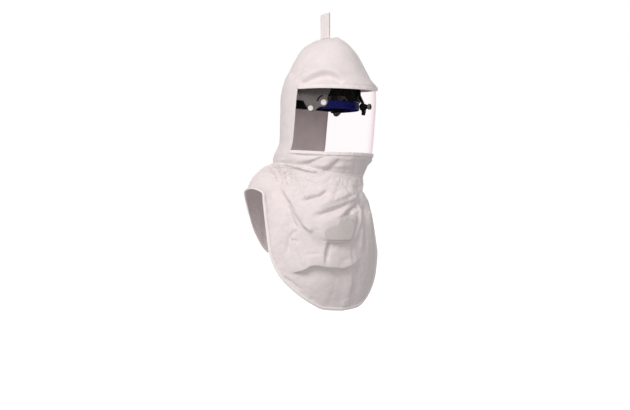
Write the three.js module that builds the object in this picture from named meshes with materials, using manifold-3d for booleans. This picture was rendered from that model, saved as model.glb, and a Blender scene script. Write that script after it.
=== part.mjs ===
// Respirator hood: a sewn cloth hood with long bibs, a clear wrap-round visor and a head harness.
// Millimetres, +Z up. The visor faces -Y and the wearer's left is +X. The origin is the middle of the headband.
import * as THREE from "three";
import { mergeVertices } from "three/addons/utils/BufferGeometryUtils.js";
import Module from "manifold-3d";

const wasm = await Module();
wasm.setup();

// Sheet thicknesses and the gap between sewn pieces
const CLOTH = 1.4;
const FILM = 1.0;
const GAP = 0.3;

// Hood sections, from the neck seam up to the crown ridge: reach forward, reach backward, half width
const SECTIONS = [
  { up: -190, front: 122, back: -124, half: 107 },
  { up: -157, front: 140, back: -126, half: 116 },
  { up: -145, front: 149, back: -126, half: 120 },
  { up: -131, front: 152, back: -122, half: 119 },
  { up: -117, front: 153.5, back: -114, half: 117 },
  { up: -95, front: 155.5, back: -107, half: 114 },
  { up: -45, front: 159.5, back: -105.5, half: 112.5 },
  { up: 15, front: 163, back: -104, half: 112 },
  { up: 48, front: 163.5, back: -98, half: 110 },
  { up: 75, front: 148, back: -89, half: 102 },
  { up: 97, front: 136, back: -77, half: 93 },
  { up: 119, front: 124.5, back: -67, half: 82 },
  { up: 141, front: 112, back: -59, half: 69 },
  { up: 163, front: 95, back: -48, half: 50 },
  { up: 175, front: 83.5, back: -36, half: 36 },
  { up: 185, front: 72, back: -19, half: 18.5 },
  { up: 191, front: 67, back: -6, half: 6 },
];
const MIDDLE = 30; // the sections' common middle, forward of the headband's middle
const FULLNESS = 2.1; // exponent of the section curve
const RIDGE_UP = 191;
const RIDGE_DROP = 6; // the ridge falls by this towards its rear end
const RIDGE_FADE = 110; // below this height the sections are level

// Visor window
const VISOR_EDGE = THREE.MathUtils.degToRad(110); // rear edges, as the section's angle from the front
const VISOR_TOP = 45;
const VISOR_TOP_DIP = 3; // the top edge dips at the front
const VISOR_TOP_LIFT = 8; // and is drawn up at the wearer's left front
const VISOR_BOTTOM = -122;
const VISOR_BOTTOM_DIP = 11;
const VISOR_GAP = 0.8;

// Neck seam
const SEAM_FRONT = -188;
const SEAM_RISE = 35; // the seam is higher at the nape

// Bib: it sits turned from the hood, as the wearer looks to the left
const BIB_TURN = THREE.MathUtils.degToRad(-27);
const NECK_SHARE = 0.75; // share of that turn taken up above the neck seam
const REST_AT = 0.45; // where along a rib the cloth rests on the body
// Bib ribs from the front middle over the shoulder to the back middle: place on the neck seam,
// the point where the cloth rests and the point on the hem, as forward, sideways and up
const RIBS = [
  { neck: 0, restFwd: 146, restSide: 0, restUp: -330, hemFwd: 106, hemSide: 0, hemUp: -549 },
  { neck: 16, restFwd: 142, restSide: 46, restUp: -330, hemFwd: 99, hemSide: 55, hemUp: -544 },
  { neck: 30, restFwd: 128, restSide: 84, restUp: -322, hemFwd: 86, hemSide: 103, hemUp: -520 },
  { neck: 42, restFwd: 100, restSide: 108, restUp: -306, hemFwd: 66, hemSide: 142, hemUp: -486 },
  { neck: 54, restFwd: 72, restSide: 124, restUp: -285, hemFwd: 46, hemSide: 171, hemUp: -445 },
  { neck: 64, restFwd: 50, restSide: 130, restUp: -260, hemFwd: 30, hemSide: 187, hemUp: -385 },
  { neck: 74, restFwd: 30, restSide: 128, restUp: -238, hemFwd: 14, hemSide: 186, hemUp: -315 },
  { neck: 84, restFwd: 8, restSide: 122, restUp: -220, hemFwd: -2, hemSide: 182, hemUp: -262 },
  { neck: 93, restFwd: -16, restSide: 118, restUp: -212, hemFwd: -15, hemSide: 177, hemUp: -236 },
  { neck: 103, restFwd: -50, restSide: 123, restUp: -201, hemFwd: -58, hemSide: 181, hemUp: -224 },
  { neck: 114, restFwd: -84, restSide: 133, restUp: -192, hemFwd: -98, hemSide: 174, hemUp: -230 },
  { neck: 126, restFwd: -114, restSide: 136, restUp: -190, hemFwd: -126, hemSide: 148, hemUp: -270 },
  { neck: 140, restFwd: -138, restSide: 102, restUp: -222, hemFwd: -142, hemSide: 110, hemUp: -345 },
  { neck: 158, restFwd: -150, restSide: 54, restUp: -260, hemFwd: -148, hemSide: 62, hemUp: -400 },
  { neck: 180, restFwd: -154, restSide: 0, restUp: -280, hemFwd: -150, hemSide: 0, hemUp: -418 },
];
const SHOULDER = 8; // the rib where the front bib meets the back bib
const HEM = 8; // depth of the panels' turned hem

// The slack cloth that hangs in a pouch below the neck, and how far it swells
const POUCH = { middle: -45, half: 80, top: -230, depth: 131, swell: 12, roll: 10 };
// Folds of the front bib: ridges (out) and creases (in) from one point to another, sideways and up
const BIB_FOLDS = [
  { side0: -107, up0: -256, side1: -30, up1: -216, out: 6, width: 13 },
  { side0: -104, up0: -292, side1: 8, up1: -234, out: 8, width: 15 },
  { side0: 2, up0: -282, side1: 34, up1: -248, out: -8, width: 12 },
  { side0: -80, up0: -366, side1: -84, up1: -415, out: -8, width: 9 },
  { side0: -128, up0: -396, side1: -90, up1: -422, out: 6, width: 14 },
  { side0: -90, up0: -422, side1: -20, up1: -440, out: 6, width: 14 },
  { side0: 0, up0: -385, side1: 15, up1: -545, out: 4, width: 11 },
  { side0: -148, up0: -322, side1: -136, up1: -374, out: 4, width: 12 },
];
// Folds of the hood, as the section's angle from the front and up
const HOOD_FOLDS = [
  { turn0: -108, up0: 58, turn1: -92, up1: 85, out: -3, width: 11 },
  { turn0: -92, up0: 85, turn1: -60, up1: 87, out: -3, width: 11 },
  { turn0: -60, up0: 87, turn1: -46, up1: 66, out: -3, width: 11 },
  { turn0: -98, up0: -152, turn1: -72, up1: -138, out: 4, width: 10 },
  { turn0: -66, up0: -174, turn1: -48, up1: -140, out: 4, width: 10 },
];
const TURN_MM = 2.1; // a degree of turn on the hood's wall, for the folds' widths

// Hanging loop
const LOOP = { fwd: 23, wide: 26, tall: 70, clear: 6, strap: 1.6, shear: 0.2 };

// Head harness
const BAND = { front: 116, half: 78, fullness: 2.4, high: 21, thick: 2.0, endFwd: 34 };
const NAPE = { inset: 2.3, back: 92, high: 18, thick: 1.6, startFwd: 46, rise: 12 };
const STRAP = { fwd: 15, wide: 20, inside: 76.3, thick: 1.5, foot: -10, spring: 20, top: 88 };
const PLATE = { side: 87, toe: THREE.MathUtils.degToRad(11.6), thick: 2.5 };
// Outline of a side plate, along the plate and up, from the upper rear corner round the two lobes
const PLATE_OUTLINE = [
  { along: -22, up: 62 },
  { along: -22, up: 42 },
  { along: -4, up: 14 },
  { along: 8, up: -7 },
  { along: 12, up: -16 },
  { along: 20, up: -19.5 },
  { along: 28, up: -17 },
  { along: 37, up: -9 },
  { along: 46, up: -5 },
  { along: 56, up: -5 },
  { along: 63, up: 1 },
  { along: 65, up: 10 },
  { along: 63, up: 18 },
  { along: 70, up: 33 },
  { along: 72, up: 46 },
  { along: 60, up: 52 },
];
const PIVOT = { fwd: 53, up: 5.7, head: 8, headTall: 3, shank: 3, play: 0.4 };
const REAR_BUTTON = { along: 18, up: -9, head: 7.4, headTall: 2.6, shank: 2.6 };
const SLOT = { radius: 18.5, wide: 4.2, from: 100, to: 168 };
const FRAME = { front: 119.6, half: 78.3, fullness: 2.4, endFwd: 58, thick: 2.2, top: 46, side: 23, middle: 10 };
const BRACKET = { wide: 13, thick: 7, armFwd: 157, armUp: -3.5, arm: 5 };
const BRACKET_PATH = [
  { fwd: 123.6, up: 42 },
  { fwd: 123.6, up: 30 },
  { fwd: 127.5, up: 20 },
  { fwd: 133, up: 8 },
  { fwd: 136, up: -4 },
  { fwd: 136.5, up: -15 },
  { fwd: 135, up: -26 },
];
const KNOB = { radius: 7.7, long: 7.5, fwd: 149.5 };
const STUD = { fwd: 0, up: 53, radius: 5 };

const WHITE_CLOTH = { color: 0xece4e2, roughness: 0.9, metalness: 0 };
const CLEAR_FILM = { color: 0xf3eef0, roughness: 0.08, metalness: 0, transparent: true, opacity: 0.25 };
const WHITE_PLASTIC = { color: 0xf1efec, roughness: 0.4, metalness: 0 };
const GREY_PLASTIC = { color: 0x6b6866, roughness: 0.5, metalness: 0 };
const BLACK_PLASTIC = { color: 0x1c1b1d, roughness: 0.5, metalness: 0 };
const BLUE_BAND = { color: 0x232a5a, roughness: 0.6, metalness: 0 };
const LABEL = { color: 0xc9c0bb, roughness: 0.7, metalness: 0 };

const group = new THREE.Group();
group.name = "respirator_hood";

function add(name, geometry, look) {
  const mesh = new THREE.Mesh(outward(geometry), new THREE.MeshStandardMaterial(look));
  mesh.name = name;
  group.add(mesh);
}

function smooth(x) {
  const c = Math.min(1, Math.max(0, x));
  return c * c * (3 - 2 * c);
}

// A smooth curve through one column of a table that never overshoots its rows
function column(rows, name, along) {
  const xs = rows.map((row, i) => (along ? row[along] : i));
  const ys = rows.map((row) => row[name]);
  const steps = xs.slice(1).map((x, i) => x - xs[i]);
  const rises = steps.map((h, i) => (ys[i + 1] - ys[i]) / h);
  const slopes = ys.map((y, i) => {
    const before = rises[Math.max(0, i - 1)];
    const after = rises[Math.min(rises.length - 1, i)];
    return before * after <= 0 ? 0 : (2 * before * after) / (before + after);
  });
  return (x) => {
    let i = 0;
    while (i < steps.length - 1 && x > xs[i + 1]) i += 1;
    const h = steps[i];
    const s = Math.min(1, Math.max(0, (x - xs[i]) / h));
    const rise = s * s * (3 - 2 * s);
    const bend = h * (s * (1 - s) * (1 - s) * slopes[i] - s * s * (1 - s) * slopes[i + 1]);
    return ys[i] + (ys[i + 1] - ys[i]) * rise + bend;
  };
}

const frontAt = column(SECTIONS, "front", "up");
const backAt = column(SECTIONS, "back", "up");
const halfAt = column(SECTIONS, "half", "up");

function powered(x, exponent) {
  return Math.sign(x) * Math.pow(Math.abs(x), exponent);
}

// A point of the hood's plain outside: turn is the angle from the front, positive to the wearer's left
function hoodPoint(turn, up) {
  const c = Math.cos(turn);
  const reach = c > 0 ? frontAt(up) - MIDDLE : MIDDLE - backAt(up);
  const fwd = MIDDLE + reach * powered(c, 2 / FULLNESS);
  const side = halfAt(up) * powered(Math.sin(turn), 2 / FULLNESS);
  const fall = smooth((up - RIDGE_FADE) / (RIDGE_UP - RIDGE_FADE));
  const ridge = frontAt(RIDGE_UP) - backAt(RIDGE_UP);
  const drop = RIDGE_DROP * fall * ((frontAt(RIDGE_UP) - fwd) / ridge);
  return new THREE.Vector3(side, -fwd, up - drop);
}

function visorTop(turn) {
  const lift = VISOR_TOP_LIFT * smooth(1.3 * Math.sin(1.6 * turn));
  return VISOR_TOP - VISOR_TOP_DIP * smooth(Math.cos(turn)) + lift;
}

function visorBottom(turn) {
  return VISOR_BOTTOM - VISOR_BOTTOM_DIP * smooth(0.6 * (1 + Math.cos(turn)));
}

function seamUp(turn) {
  return SEAM_FRONT + SEAM_RISE * smooth(0.5 * (1 - Math.cos(turn)));
}

// How far a fold lifts a place: (a, b) is the place and the fold runs from (a0, b0) to (a1, b1)
function foldLift(a, b, a0, b0, a1, b1, out, width) {
  const la = a1 - a0;
  const lb = b1 - b0;
  const t = Math.min(1, Math.max(0, ((a - a0) * la + (b - b0) * lb) / (la * la + lb * lb)));
  const off = Math.hypot(a - a0 - t * la, b - b0 - t * lb);
  return out * Math.exp(-((off / width) ** 2));
}

function hoodLift(turn, up) {
  const degrees = THREE.MathUtils.radToDeg(turn);
  const clear = smooth((visorBottom(turn) - 15 - up) / 8) + smooth((up - visorTop(turn) - 4) / 6);
  return clear * HOOD_FOLDS.reduce(
    (sum, f) =>
      sum +
      foldLift(
        degrees * TURN_MM,
        up,
        f.turn0 * TURN_MM,
        f.up0,
        f.turn1 * TURN_MM,
        f.up1,
        f.out,
        f.width,
      ),
    0,
  );
}

const ribAt = Object.fromEntries(Object.keys(RIBS[0]).map((name) => [name, column(RIBS, name)]));

// A place given in the bib's turned frame
function turned(fwd, side, up) {
  const c = Math.cos(BIB_TURN);
  const s = Math.sin(BIB_TURN);
  return new THREE.Vector3(side * c + fwd * s, side * s - fwd * c, up);
}

// A point of the bib's plain outside: rib counts from the front middle, negative on the wearer's right
function bibPoint(rib, along) {
  const k = Math.abs(rib);
  const hand = rib < 0 ? -1 : 1;
  const turn = THREE.MathUtils.degToRad(ribAt.neck(k)) * hand + BIB_TURN * NECK_SHARE;
  const neck = hoodPoint(turn, seamUp(turn)).setZ(seamUp(turn) - 1.5 * GAP);
  const rest = turned(ribAt.restFwd(k), ribAt.restSide(k) * hand, ribAt.restUp(k));
  const hem = turned(ribAt.hemFwd(k), ribAt.hemSide(k) * hand, ribAt.hemUp(k));
  return neck
    .multiplyScalar(((along - REST_AT) * (along - 1)) / REST_AT)
    .addScaledVector(rest, (along * (along - 1)) / (REST_AT * (REST_AT - 1)))
    .addScaledVector(hem, (along * (along - REST_AT)) / (1 - REST_AT));
}

function bibLift(point) {
  const side = point.x * Math.cos(BIB_TURN) + point.y * Math.sin(BIB_TURN);
  const fwd = point.x * Math.sin(BIB_TURN) - point.y * Math.cos(BIB_TURN);
  if (fwd < 0) return 0;
  const up = point.z;
  const across = Math.abs(side - POUCH.middle) / POUCH.half;
  const down = Math.max(0, POUCH.top - up) / POUCH.depth;
  const within = (1 - Math.cbrt(across ** 3 + down ** 3)) * POUCH.half;
  const hang = smooth((SEAM_FRONT - 15 - up) / 110);
  const pouch = POUCH.swell * hang * smooth(0.5 + within / POUCH.roll);
  return BIB_FOLDS.reduce(
    (sum, f) => sum + foldLift(side, up, f.side0, f.up0, f.side1, f.up1, f.out, f.width),
    pouch,
  );
}

// Normals of a grid of points, rows of points, facing away from the upright axis
function normalsOf(rows, closed) {
  const count = rows[0].length;
  const at = (j, i) => {
    const row = rows[Math.min(rows.length - 1, Math.max(0, j))];
    return closed ? row[(i + count) % count] : row[Math.min(count - 1, Math.max(0, i))];
  };
  let facing = 0;
  const normals = rows.map((row, j) =>
    row.map((p, i) => {
      const along = at(j, i + 1).clone().sub(at(j, i - 1));
      const down = at(j + 1, i).clone().sub(at(j - 1, i));
      const n = along.cross(down).normalize();
      facing += n.x * p.x + n.y * p.y;
      return n;
    }),
  );
  if (facing < 0) normals.forEach((row) => row.forEach((n) => n.negate()));
  return normals;
}

function shifted(rows, normals, amount) {
  return rows.map((row, j) => row.map((p, i) => p.clone().addScaledVector(normals[j][i], amount(j, i))));
}

// A closed wall between a grid's outside and its inside; skip leaves a window, crown closes the top row
function wall(rows, thick, options = {}) {
  const { closed = false, skip = () => false, crown = false, normals = normalsOf(rows, closed) } = options;
  const count = rows[0].length;
  const inside = shifted(rows, normals, (j) => (crown && j === 0 ? -0.72 * thick : -thick));
  const flat = [...rows.flat(), ...inside.flat()];
  const half = rows.length * count;
  const cells = closed ? count : count - 1;
  const has = (j, i) => {
    if (j < 0 || j >= rows.length - 1) return false;
    if (!closed && (i < 0 || i >= cells)) return false;
    return !skip(j, (i + cells) % cells);
  };
  const index = [];
  const quad = (a, b, c, d) => index.push(a, b, c, a, c, d);
  const rim = (a, b) => quad(b, a, a + half, b + half);
  for (let j = 0; j < rows.length - 1; j += 1) {
    for (let i = 0; i < cells; i += 1) {
      if (!has(j, i)) continue;
      const next = (i + 1) % count;
      const a = j * count + i;
      const b = j * count + next;
      const c = (j + 1) * count + next;
      const d = (j + 1) * count + i;
      quad(a, b, c, d);
      quad(d + half, c + half, b + half, a + half);
      if (!has(j - 1, i) && !(crown && j === 0)) rim(a, b);
      if (!has(j, i + 1)) rim(b, c);
      if (!has(j + 1, i)) rim(c, d);
      if (!has(j, i - 1)) rim(d, a);
    }
  }
  if (crown) {
    for (let i = 0; i < count / 2; i += 1) {
      const far = (count - i) % count;
      const near = count - i - 1;
      if (i > 0) index.push(i + 1, i, far, i + 1 + half, far + half, i + half);
      if (near !== i + 1) index.push(i + 1, far, near, i + 1 + half, near + half, far + half);
    }
  }
  const geometry = new THREE.BufferGeometry().setFromPoints(flat);
  geometry.setIndex(index);
  return geometry;
}

function grid(down, across, point) {
  return Array.from({ length: down + 1 }, (_, j) =>
    Array.from({ length: across + 1 }, (_, i) => point(j / down, i / across)),
  );
}

// Faces turned so that the closed body has a positive volume
function outward(geometry) {
  const bare = new THREE.BufferGeometry();
  bare.setAttribute("position", geometry.getAttribute("position").clone());
  if (geometry.index) bare.setIndex(geometry.index.clone());
  const merged = mergeVertices(bare, 1e-4);
  const p = merged.getAttribute("position");
  const index = Array.from(merged.index.array);
  const corner = (k) => new THREE.Vector3().fromBufferAttribute(p, index[k]);
  let volume = 0;
  for (let k = 0; k < index.length; k += 3) {
    volume += corner(k).dot(corner(k + 1).cross(corner(k + 2)));
  }
  if (volume < 0) {
    for (let k = 0; k < index.length; k += 3) {
      [index[k + 1], index[k + 2]] = [index[k + 2], index[k + 1]];
    }
  }
  merged.setIndex(index);
  merged.computeVertexNormals();
  return merged;
}

function toSolid(geometry) {
  const g = outward(geometry);
  return new wasm.Manifold(
    new wasm.Mesh({
      numProp: 3,
      vertProperties: new Float32Array(g.getAttribute("position").array),
      triVerts: new Uint32Array(g.index.array),
    }),
  );
}

function toGeometry(body) {
  const mesh = body.getMesh();
  const geometry = new THREE.BufferGeometry();
  geometry.setAttribute("position", new THREE.BufferAttribute(mesh.vertProperties, 3));
  geometry.setIndex(new THREE.BufferAttribute(mesh.triVerts, 1));
  return geometry;
}

function joined(...geometries) {
  return toGeometry(wasm.Manifold.union(geometries.map(toSolid)));
}

function cut(geometry, ...tools) {
  return toGeometry(toSolid(geometry).subtract(wasm.Manifold.union(tools.map(toSolid))));
}

function rod(from, to, radius, sides = 20) {
  const axis = to.clone().sub(from);
  const geometry = new THREE.CylinderGeometry(radius, radius, axis.length(), sides);
  const spin = new THREE.Quaternion().setFromUnitVectors(
    new THREE.Vector3(0, 1, 0),
    axis.clone().normalize(),
  );
  geometry.applyQuaternion(spin);
  const mid = from.clone().addScaledVector(axis, 0.5);
  geometry.translate(mid.x, mid.y, mid.z);
  return geometry;
}

function mirrored(geometry) {
  const g = geometry.clone();
  g.scale(-1, 1, 1);
  return g;
}

// Hood shell
const AROUND = 58;
const CROWN_ROWS = 8;
const WINDOW_ROWS = 3;
const YOKE_ROWS = 3;
const EDGE_COLUMN = 18; // columns from the front middle to the visor's rear edge

function shellTurn(i) {
  const k = i <= AROUND / 2 ? i : i - AROUND;
  const rest = AROUND / 2 - EDGE_COLUMN;
  const n = Math.abs(k);
  const turn =
    n <= EDGE_COLUMN
      ? (VISOR_EDGE * n) / EDGE_COLUMN
      : VISOR_EDGE + ((Math.PI - VISOR_EDGE) * (n - EDGE_COLUMN)) / rest;
  return k < 0 ? -turn : turn;
}

function shellUp(j, turn) {
  const top = visorTop(turn);
  const bottom = visorBottom(turn);
  if (j <= CROWN_ROWS) return RIDGE_UP + (top - RIDGE_UP) * Math.pow(j / CROWN_ROWS, 1.6);
  if (j <= CROWN_ROWS + WINDOW_ROWS) return top + (bottom - top) * ((j - CROWN_ROWS) / WINDOW_ROWS);
  return bottom + (seamUp(turn) - bottom) * ((j - CROWN_ROWS - WINDOW_ROWS) / YOKE_ROWS);
}

const shellRows = Array.from({ length: CROWN_ROWS + WINDOW_ROWS + YOKE_ROWS + 1 }, (_, j) =>
  Array.from({ length: AROUND }, (_, i) => hoodPoint(shellTurn(i), shellUp(j, shellTurn(i)))),
);
const shellNormals = normalsOf(shellRows, true);
const folded = shifted(shellRows, shellNormals, (j, i) =>
  j === shellRows.length - 1 ? 0 : hoodLift(shellTurn(i), shellUp(j, shellTurn(i))),
);
const inWindow = (j, i) =>
  j >= CROWN_ROWS &&
  j < CROWN_ROWS + WINDOW_ROWS &&
  (i < EDGE_COLUMN || i >= AROUND - EDGE_COLUMN);
add("hood_shell", wall(folded, CLOTH, { closed: true, skip: inWindow, crown: true }), WHITE_CLOTH);

// Visor film, in the window with a gap all round
const VISOR_COLUMNS = 2 * EDGE_COLUMN;
const filmRows = grid(3, VISOR_COLUMNS, (down, across) => {
  const edge = VISOR_EDGE - VISOR_GAP / 110;
  const turn = -edge + 2 * edge * across;
  const top = visorTop(turn) - VISOR_GAP;
  const bottom = visorBottom(turn) + VISOR_GAP;
  return hoodPoint(turn, top + (bottom - top) * down);
});
add("visor", wall(shifted(filmRows, normalsOf(filmRows), () => -0.2), FILM), CLEAR_FILM);

// Bound hems along the visor's upper and lower edges, outside the cloth and the film
function flatPoint(turn, up) {
  let j = 0;
  while (j < shellRows.length - 2 && shellUp(j + 1, turn) > up) j += 1;
  const upper = shellUp(j, turn);
  const share = (upper - up) / (upper - shellUp(j + 1, turn));
  return hoodPoint(turn, upper).lerp(hoodPoint(turn, shellUp(j + 1, turn)), share);
}

function visorHem(line, above, below, out) {
  const rows = grid(2, VISOR_COLUMNS, (down, across) => {
    const turn = -VISOR_EDGE + 2 * VISOR_EDGE * across;
    return flatPoint(turn, line(turn) + (down < 0.5 ? above * (1 - 2 * down) : below * (1 - 2 * down)));
  });
  return wall(shifted(rows, normalsOf(rows), () => GAP + out), out);
}
add("visor_top_hem", visorHem(visorTop, 4, 5, 2.4), WHITE_CLOTH);
add("visor_bottom_hem", visorHem(visorBottom, 4, 5, 2.0), WHITE_CLOTH);

// Bib panels, front from shoulder to shoulder and back from shoulder to shoulder
const BACK_MIDDLE = RIBS.length - 1;
const HALF_GAP = 0.008;
const BIB_ROWS = 26;

function bibNormal(rib, along) {
  const step = 0.01;
  const across = bibPoint(rib + step, along).sub(bibPoint(rib - step, along));
  const down = bibPoint(rib, Math.min(1, along + step)).sub(bibPoint(rib, Math.max(0, along - step)));
  return down.cross(across).normalize();
}

function bibOutside(rib, along) {
  const p = bibPoint(rib, along);
  const fade = smooth(along / 0.1) * smooth((1 - along) / 0.06);
  return p.clone().addScaledVector(bibNormal(rib, along), bibLift(p) * fade);
}

// Where a panel's row lies on a rib: the last row is as deep as the hem
function rowAlong(rib, j) {
  if (j === BIB_ROWS) return 1;
  const long = bibPoint(rib, 0.9).distanceTo(bibPoint(rib, 1)) / 0.1;
  return (j / (BIB_ROWS - 1)) * (1 - HEM / long);
}

// A bib panel's outside: at its two shoulder edges the wall stands square to the plain cloth
function bibPanel(across, ribOf, outside) {
  const rows = grid(BIB_ROWS, across, (v, u) => outside(ribOf(u), rowAlong(ribOf(u), Math.round(v * BIB_ROWS))));
  const normals = normalsOf(rows);
  normals.forEach((row, j) => {
    const first = SHOULDER * Math.sign(ribOf(0));
    const last = SHOULDER * Math.sign(ribOf(1));
    row[0] = bibNormal(first, rowAlong(first, j));
    row[across] = bibNormal(last, rowAlong(last, j));
  });
  return { rows, normals };
}

function frontRib(across) {
  return (2 * across - 1) * (SHOULDER - HALF_GAP);
}

function backRib(across) {
  const rib = SHOULDER + HALF_GAP + 2 * across * (BACK_MIDDLE - SHOULDER - HALF_GAP);
  return rib <= BACK_MIDDLE ? rib : rib - 2 * BACK_MIDDLE;
}

const bibFront = bibPanel(30, frontRib, bibOutside);
const bibBack = bibPanel(16, backRib, bibPoint);
add("bib_front", wall(bibFront.rows, CLOTH, { normals: bibFront.normals }), WHITE_CLOTH);
add("bib_back", wall(bibBack.rows, CLOTH, { normals: bibBack.normals }), WHITE_CLOTH);

// Label patch on the pouch
const LABEL_PLACE = { row0: 9, row1: 13, column0: 12, column1: 15, thick: 1.2, lift: 1.5 };
const patch = (rows) =>
  rows
    .slice(LABEL_PLACE.row0, LABEL_PLACE.row1 + 1)
    .map((row) => row.slice(LABEL_PLACE.column0, LABEL_PLACE.column1 + 1));
const labelNormals = patch(bibFront.normals);
const labelRows = shifted(patch(bibFront.rows), labelNormals, () => LABEL_PLACE.lift + LABEL_PLACE.thick);
add("label_patch", wall(labelRows, LABEL_PLACE.thick, { normals: labelNormals }), LABEL);

// Hanging loop: a strap folded double over the crown ridge, its width along the ridge
function hangingLoop() {
  const inner = LOOP.clear / 2;
  const outer = inner + LOOP.strap;
  const shape = new THREE.Shape();
  shape.moveTo(-outer, 0);
  shape.lineTo(-inner, 0);
  shape.lineTo(-inner, LOOP.tall - outer);
  shape.absarc(0, LOOP.tall - outer, inner, Math.PI, 0, true);
  shape.lineTo(inner, 0);
  shape.lineTo(outer, 0);
  shape.lineTo(outer, LOOP.tall - outer);
  shape.absarc(0, LOOP.tall - outer, outer, 0, Math.PI, false);
  const strap = new THREE.ExtrudeGeometry(shape, {
    depth: LOOP.wide,
    bevelEnabled: false,
    curveSegments: 8,
  });
  const ridge = hoodPoint(0, RIDGE_UP).z;
  const slope = RIDGE_DROP / (frontAt(RIDGE_UP) - backAt(RIDGE_UP));
  const foot = ridge - slope * (frontAt(RIDGE_UP) - LOOP.fwd) + 2 * GAP;
  const p = strap.getAttribute("position");
  for (let k = 0; k < p.count; k += 1) {
    const fwd = LOOP.fwd + LOOP.wide / 2 - p.getZ(k);
    const lean = LOOP.shear * (fwd - LOOP.fwd);
    const seat = slope * (fwd - LOOP.fwd);
    const high = p.getY(k) / LOOP.tall;
    p.setXYZ(k, p.getX(k), -fwd, foot + p.getY(k) + seat + (lean - seat) * high);
  }
  return strap;
}
add("hanging_loop", hangingLoop(), WHITE_CLOTH);

// Headband: blue brow band, hidden nape band and crown strap
function ringPoint(turn, front, half, fullness, up) {
  const fwd = front * powered(Math.cos(turn), 2 / fullness);
  const side = half * powered(Math.sin(turn), 2 / fullness);
  return new THREE.Vector3(side, -fwd, up);
}

function turnAt(fwd, front, fullness) {
  return Math.acos(powered(fwd / front, fullness / 2));
}

const pivotSide = PLATE.side - PIVOT.fwd * Math.tan(PLATE.toe);
const pivotAt = (side) => new THREE.Vector3(side, -PIVOT.fwd, PIVOT.up);
const pivotBore = rod(pivotAt(pivotSide - 14), pivotAt(pivotSide + 6), PIVOT.shank + PIVOT.play, 24);

const browRows = grid(1, 30, (down, across) => {
  const end = turnAt(BAND.endFwd, BAND.front, BAND.fullness);
  const turn = -end + 2 * end * across;
  return ringPoint(turn, BAND.front, BAND.half, BAND.fullness, BAND.high * (0.5 - down));
});
add("brow_band", cut(wall(browRows, BAND.thick), pivotBore, mirrored(pivotBore)), BLUE_BAND);

const napeRows = grid(1, 30, (down, across) => {
  const front = BAND.front - NAPE.inset;
  const start = turnAt(NAPE.startFwd, front, BAND.fullness);
  const turn = start + 2 * (Math.PI - start) * across;
  const reach = Math.cos(turn) > 0 ? front : NAPE.back;
  const p = ringPoint(turn, reach, BAND.half - NAPE.inset, BAND.fullness, 0);
  const rise = NAPE.rise * smooth((NAPE.startFwd + p.y) / (NAPE.startFwd + NAPE.back));
  return p.setZ(NAPE.high * (0.5 - down) + rise);
});
add("nape_band", wall(napeRows, NAPE.thick), BLACK_PLASTIC);

function crownStrap() {
  const shape = new THREE.Shape();
  const outer = STRAP.inside + STRAP.thick;
  const rise = STRAP.top - STRAP.spring;
  shape.moveTo(outer, STRAP.foot);
  shape.lineTo(outer, STRAP.spring);
  shape.absellipse(0, STRAP.spring, outer, rise + STRAP.thick, 0, Math.PI, false, 0);
  shape.lineTo(-outer, STRAP.foot);
  shape.lineTo(-STRAP.inside, STRAP.foot);
  shape.lineTo(-STRAP.inside, STRAP.spring);
  shape.absellipse(0, STRAP.spring, STRAP.inside, rise, Math.PI, 0, true, 0);
  shape.lineTo(STRAP.inside, STRAP.foot);
  const strap = new THREE.ExtrudeGeometry(shape, {
    depth: STRAP.wide,
    bevelEnabled: false,
    curveSegments: 14,
  });
  strap.rotateX(Math.PI / 2);
  strap.translate(0, STRAP.wide / 2 - STRAP.fwd, 0);
  return strap;
}
add("crown_strap", crownStrap(), BLACK_PLASTIC);

// Side plates, toed in towards the brow, with the curved slot round the pivot
const plateOut = new THREE.Vector3(Math.cos(PLATE.toe), -Math.sin(PLATE.toe), 0);
const plateAlong = new THREE.Vector3(-Math.sin(PLATE.toe), -Math.cos(PLATE.toe), 0);

function onPlate(along, up, out) {
  return new THREE.Vector3(PLATE.side, 0, up)
    .addScaledVector(plateAlong, along)
    .addScaledVector(plateOut, out);
}

const pivotAlong = PIVOT.fwd / Math.cos(PLATE.toe);

function onPlateBody(shape, from, thick) {
  const body = new THREE.ExtrudeGeometry(shape, { depth: thick, bevelEnabled: false, curveSegments: 8 });
  const p = body.getAttribute("position");
  for (let k = 0; k < p.count; k += 1) {
    const q = onPlate(p.getX(k), p.getY(k), from + p.getZ(k));
    p.setXYZ(k, q.x, q.y, q.z);
  }
  return body;
}

function slotShape() {
  const from = THREE.MathUtils.degToRad(SLOT.from);
  const to = THREE.MathUtils.degToRad(SLOT.to);
  const half = SLOT.wide / 2;
  const shape = new THREE.Shape();
  shape.absarc(-pivotAlong, PIVOT.up, SLOT.radius + half, Math.PI - from, Math.PI - to, true);
  shape.absarc(-pivotAlong, PIVOT.up, SLOT.radius - half, Math.PI - to, Math.PI - from, false);
  shape.closePath();
  const points = shape.getPoints(8).map((p) => new THREE.Vector2(-p.x, p.y));
  return new THREE.Shape(points);
}

function sidePlate() {
  const outline = new THREE.CatmullRomCurve3(
    PLATE_OUTLINE.map((row) => new THREE.Vector3(row.along, row.up, 0)),
    true,
    "centripetal",
  );
  const shape = new THREE.Shape(outline.getPoints(40).slice(0, -1).map((p) => new THREE.Vector2(p.x, p.y)));
  const slot = onPlateBody(slotShape(), -PLATE.thick - 2, PLATE.thick + 4);
  const rearBore = rod(
    onPlate(REAR_BUTTON.along, REAR_BUTTON.up, -6),
    onPlate(REAR_BUTTON.along, REAR_BUTTON.up, 4),
    REAR_BUTTON.shank + PIVOT.play,
  );
  return cut(onPlateBody(shape, -PLATE.thick, PLATE.thick), pivotBore, slot, rearBore);
}

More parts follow.
